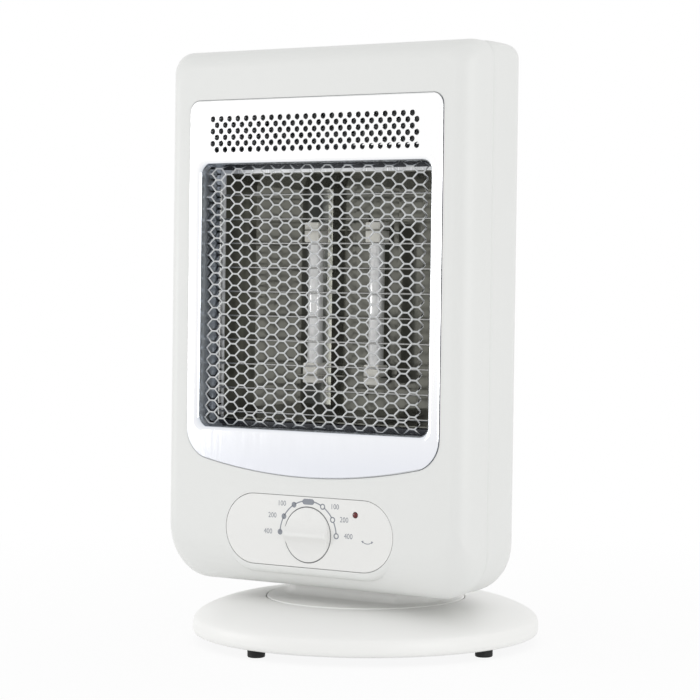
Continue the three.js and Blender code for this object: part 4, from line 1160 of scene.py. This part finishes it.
def base_cover():
    """Round cover, domed towards the turntable's well."""
    brow = BASE_RADIUS - 1
    dome = []
    for step in range(21):
        run = (step / 20) ** 1.6
        share = (1 - (1 - run) ** 2) ** 0.755
        dome.append((brow + (WELL_RADIUS + 0.5 - brow) * run,
                     RIM_TOP + (WELL_TOP - RIM_TOP) * share))
    under = [(radius - 1.2, height - 2.5) for radius, height in reversed(dome[3:-2:3])]
    floor_bottom = FLOOR_TOP - FLOOR_THICK
    profile = [(BASE_RADIUS - inwards, BASE_UNDERSIDE + rise) for inwards, rise in BASE_RIM]
    profile += dome + [
        (WELL_RADIUS, WELL_TOP - 0.5), (WELL_RADIUS, FLOOR_TOP), (POST_HOLE, FLOOR_TOP),
        (POST_HOLE, floor_bottom), (WELL_RADIUS + 2.5, floor_bottom),
    ] + under
    gland = bar(0, GLAND_HEIGHT, GLAND_RADIUS, BASE_RADIUS - 12, BASE_RADIUS + 4)
    piece("base_cover_moulding", carve(turned(profile, 128), gland), BASE_WHITE, "base",
          ["base_cover"], BASE, broad=True)


def neck_growth(before, after):
    """Scale that takes the neck's outline from one flare to another."""
    return (*[(half + after) / (half + before) for half in NECK_HALF], 1)


def neck():
    """Pedestal walls with chamfered corners that flare out onto the turntable."""
    mesh = bmesh.new()
    bmesh.ops.create_grid(mesh, x_segments=1, y_segments=1, size=0.5)
    bmesh.ops.scale(mesh, verts=mesh.verts, vec=(2 * NECK_HALF[0], 2 * NECK_HALF[1], 1))
    cut_corners(mesh, mesh.verts[:], NECK_CORNER, 1)
    cut_corners(mesh, mesh.verts[:], NECK_EASE, 4)
    rings = [(DISC_TOP - 1, NECK_FLARE), (DISC_TOP, NECK_FLARE)]
    rings += [(DISC_TOP + NECK_FLARE * share, NECK_FLARE * left) for share, left in quarter(6)]
    rings.append((42, 0))
    top = mesh.faces[:]
    bmesh.ops.scale(mesh, verts=mesh.verts, vec=neck_growth(0, NECK_FLARE))
    moved(mesh, z=rings[0][0])
    for here, there in zip(rings, rings[1:]):
        verts, top = drawn_out(mesh, top, here is rings[0])
        bmesh.ops.scale(mesh, verts=verts, vec=neck_growth(here[1], there[1]))
        bmesh.ops.translate(mesh, verts=verts, vec=(0, 0, there[0] - here[0]))
    outward(mesh)
    ceiling = HEAD_BOTTOM + SEAM_STEP - GAP - 0.1
    lean = Matrix.Rotation(-math.radians(HEAD_LEAN), 3, "X")
    cut = bmesh.ops.bisect_plane(mesh, geom=everything(mesh), clear_outer=True,
                                 plane_co=lean @ Vector((0, 0, ceiling)),
                                 plane_no=lean @ Vector((0, 0, 1)))
    bmesh.ops.contextual_create(mesh, geom=only(bmesh.types.BMEdge, cut["geom_cut"]))
    return outward(mesh)


def turntable():
    """Disc, hub and neck in one, with a sleeve up into the head."""
    skirt = DISC_RADIUS - DISC_SKIRT
    under = DISC_TOP - DISC_THICK
    disc = turned([
        (HUB_BORE, HUB_BOTTOM), (HUB_RADIUS, HUB_BOTTOM), (HUB_RADIUS, under), (skirt, under),
        (skirt, FLOOR_TOP + GAP), (DISC_RADIUS, FLOOR_TOP + GAP), (DISC_RADIUS, DISC_TOP - 1.0),
        (DISC_RADIUS - 0.1, DISC_TOP - 0.6), (DISC_RADIUS - 0.35, DISC_TOP - 0.25),
        (DISC_RADIUS - 0.9, DISC_TOP), (HUB_BORE, DISC_TOP),
    ], 128)
    sleeve = turned([
        (HUB_BORE, DISC_TOP - 1), (HUB_RADIUS, DISC_TOP - 1), (HUB_RADIUS, HUB_TOP - 0.4),
        (HUB_RADIUS - 0.4, HUB_TOP), (HUB_BORE, HUB_TOP),
    ], 64)
    walls = carve(neck(), band(0, HUB_BORE, 10, 60, 64))
    mesh = carve(disc, walls, sleeve, operation="UNION")
    piece("turntable_moulding", mesh, BASE_WHITE, "head", ["turntable"], STAND,
          broad=True)


def feet():
    for number, angle in enumerate((45, 135, 225, 315), 1):
        foot = turned([
            (0, 0), (FOOT_RADIUS - 0.8, 0), (FOOT_RADIUS - 0.3, 0.2), (FOOT_RADIUS, 0.8),
            (FOOT_RADIUS, BASE_UNDERSIDE), (0, BASE_UNDERSIDE),
        ], 40)
        turn = math.radians(angle)
        moved(foot, FOOT_CIRCLE * math.cos(turn), FOOT_CIRCLE * math.sin(turn))
        piece(f"foot_{number}_pad", foot, RUBBER, "base", [f"foot_{number}"], BASE)


def screw_head():
    """Pan head with a crossed recess, its top at z = 0."""
    head = turned([(0, -SCREW_HEAD), (3.2, -SCREW_HEAD), (3.2, -1.1), (2.9, -0.5),
                   (2.2, -0.12), (1.4, 0), (0, 0)], 32)
    return carve(head, block(3.6, 0.8, 2.4), block(0.8, 3.6, 2.4))


def screws():
    """Long screws that hold the two casings together."""
    for number, (x, z) in enumerate(CASING_SCREWS, 1):
        shank = band(0, SCREW_RADIUS, -SCREW_SEAT, -SCREW_SEAT + SCREW_LENGTH, 16)
        head = placed(screw_head(), Matrix.Rotation(math.pi, 4, "X"))
        moved(head, z=-SCREW_SEAT - GAP - SCREW_HEAD)
        mesh = facing(together(head, shank), x, z)
        piece(f"casing_screw_{number}_driven", mesh, STEEL, "head",
              [f"casing_screw_{number}"])


front_shell()
back_shell()
trim_plate()
mesh_guard()
guard_wires()
for side, x in zip(("left", "right"), LAMP_X):
    lamp(side, x)
control_panel()
knob()
dial_marks()
dial_numbers()
indicator()
base_cover()
turntable()
feet()
screws()

# ---- the frame's own pieces

CARRIED = {
    DUCT: ["window_duct"],
    FRAME_SHEET: ["reflector_frame"],
    ZINC: ["heat_shield", "motor_bracket"],
    REFLECTOR: ["reflector", "reflector_top", "reflector_bottom", "lamp_holder_upper",
                "lamp_holder_lower"],
    STEEL: ["thermal_cutout", "swivel_motor", "base_plate", "ballast_weight", "slotted_arm"]
    + [f"{part}_screw_{number}" for part in ("frame", "base") for number in (1, 2, 3, 4)],
    GREY: ["selector_shaft", "selector_switch", "indicator_lamp", "crank_disc", "retaining_ring",
           "pivot_post", "cord_gland", "tip_plunger", "tip_switch"],
    CERAMIC: ["terminal_block"],
}
for material, names in CARRIED.items():
    for name in names:
        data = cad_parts[name].data
        data.materials.clear()
        data.materials.append(material)

set_camera()
set_studio()
studio_floor()
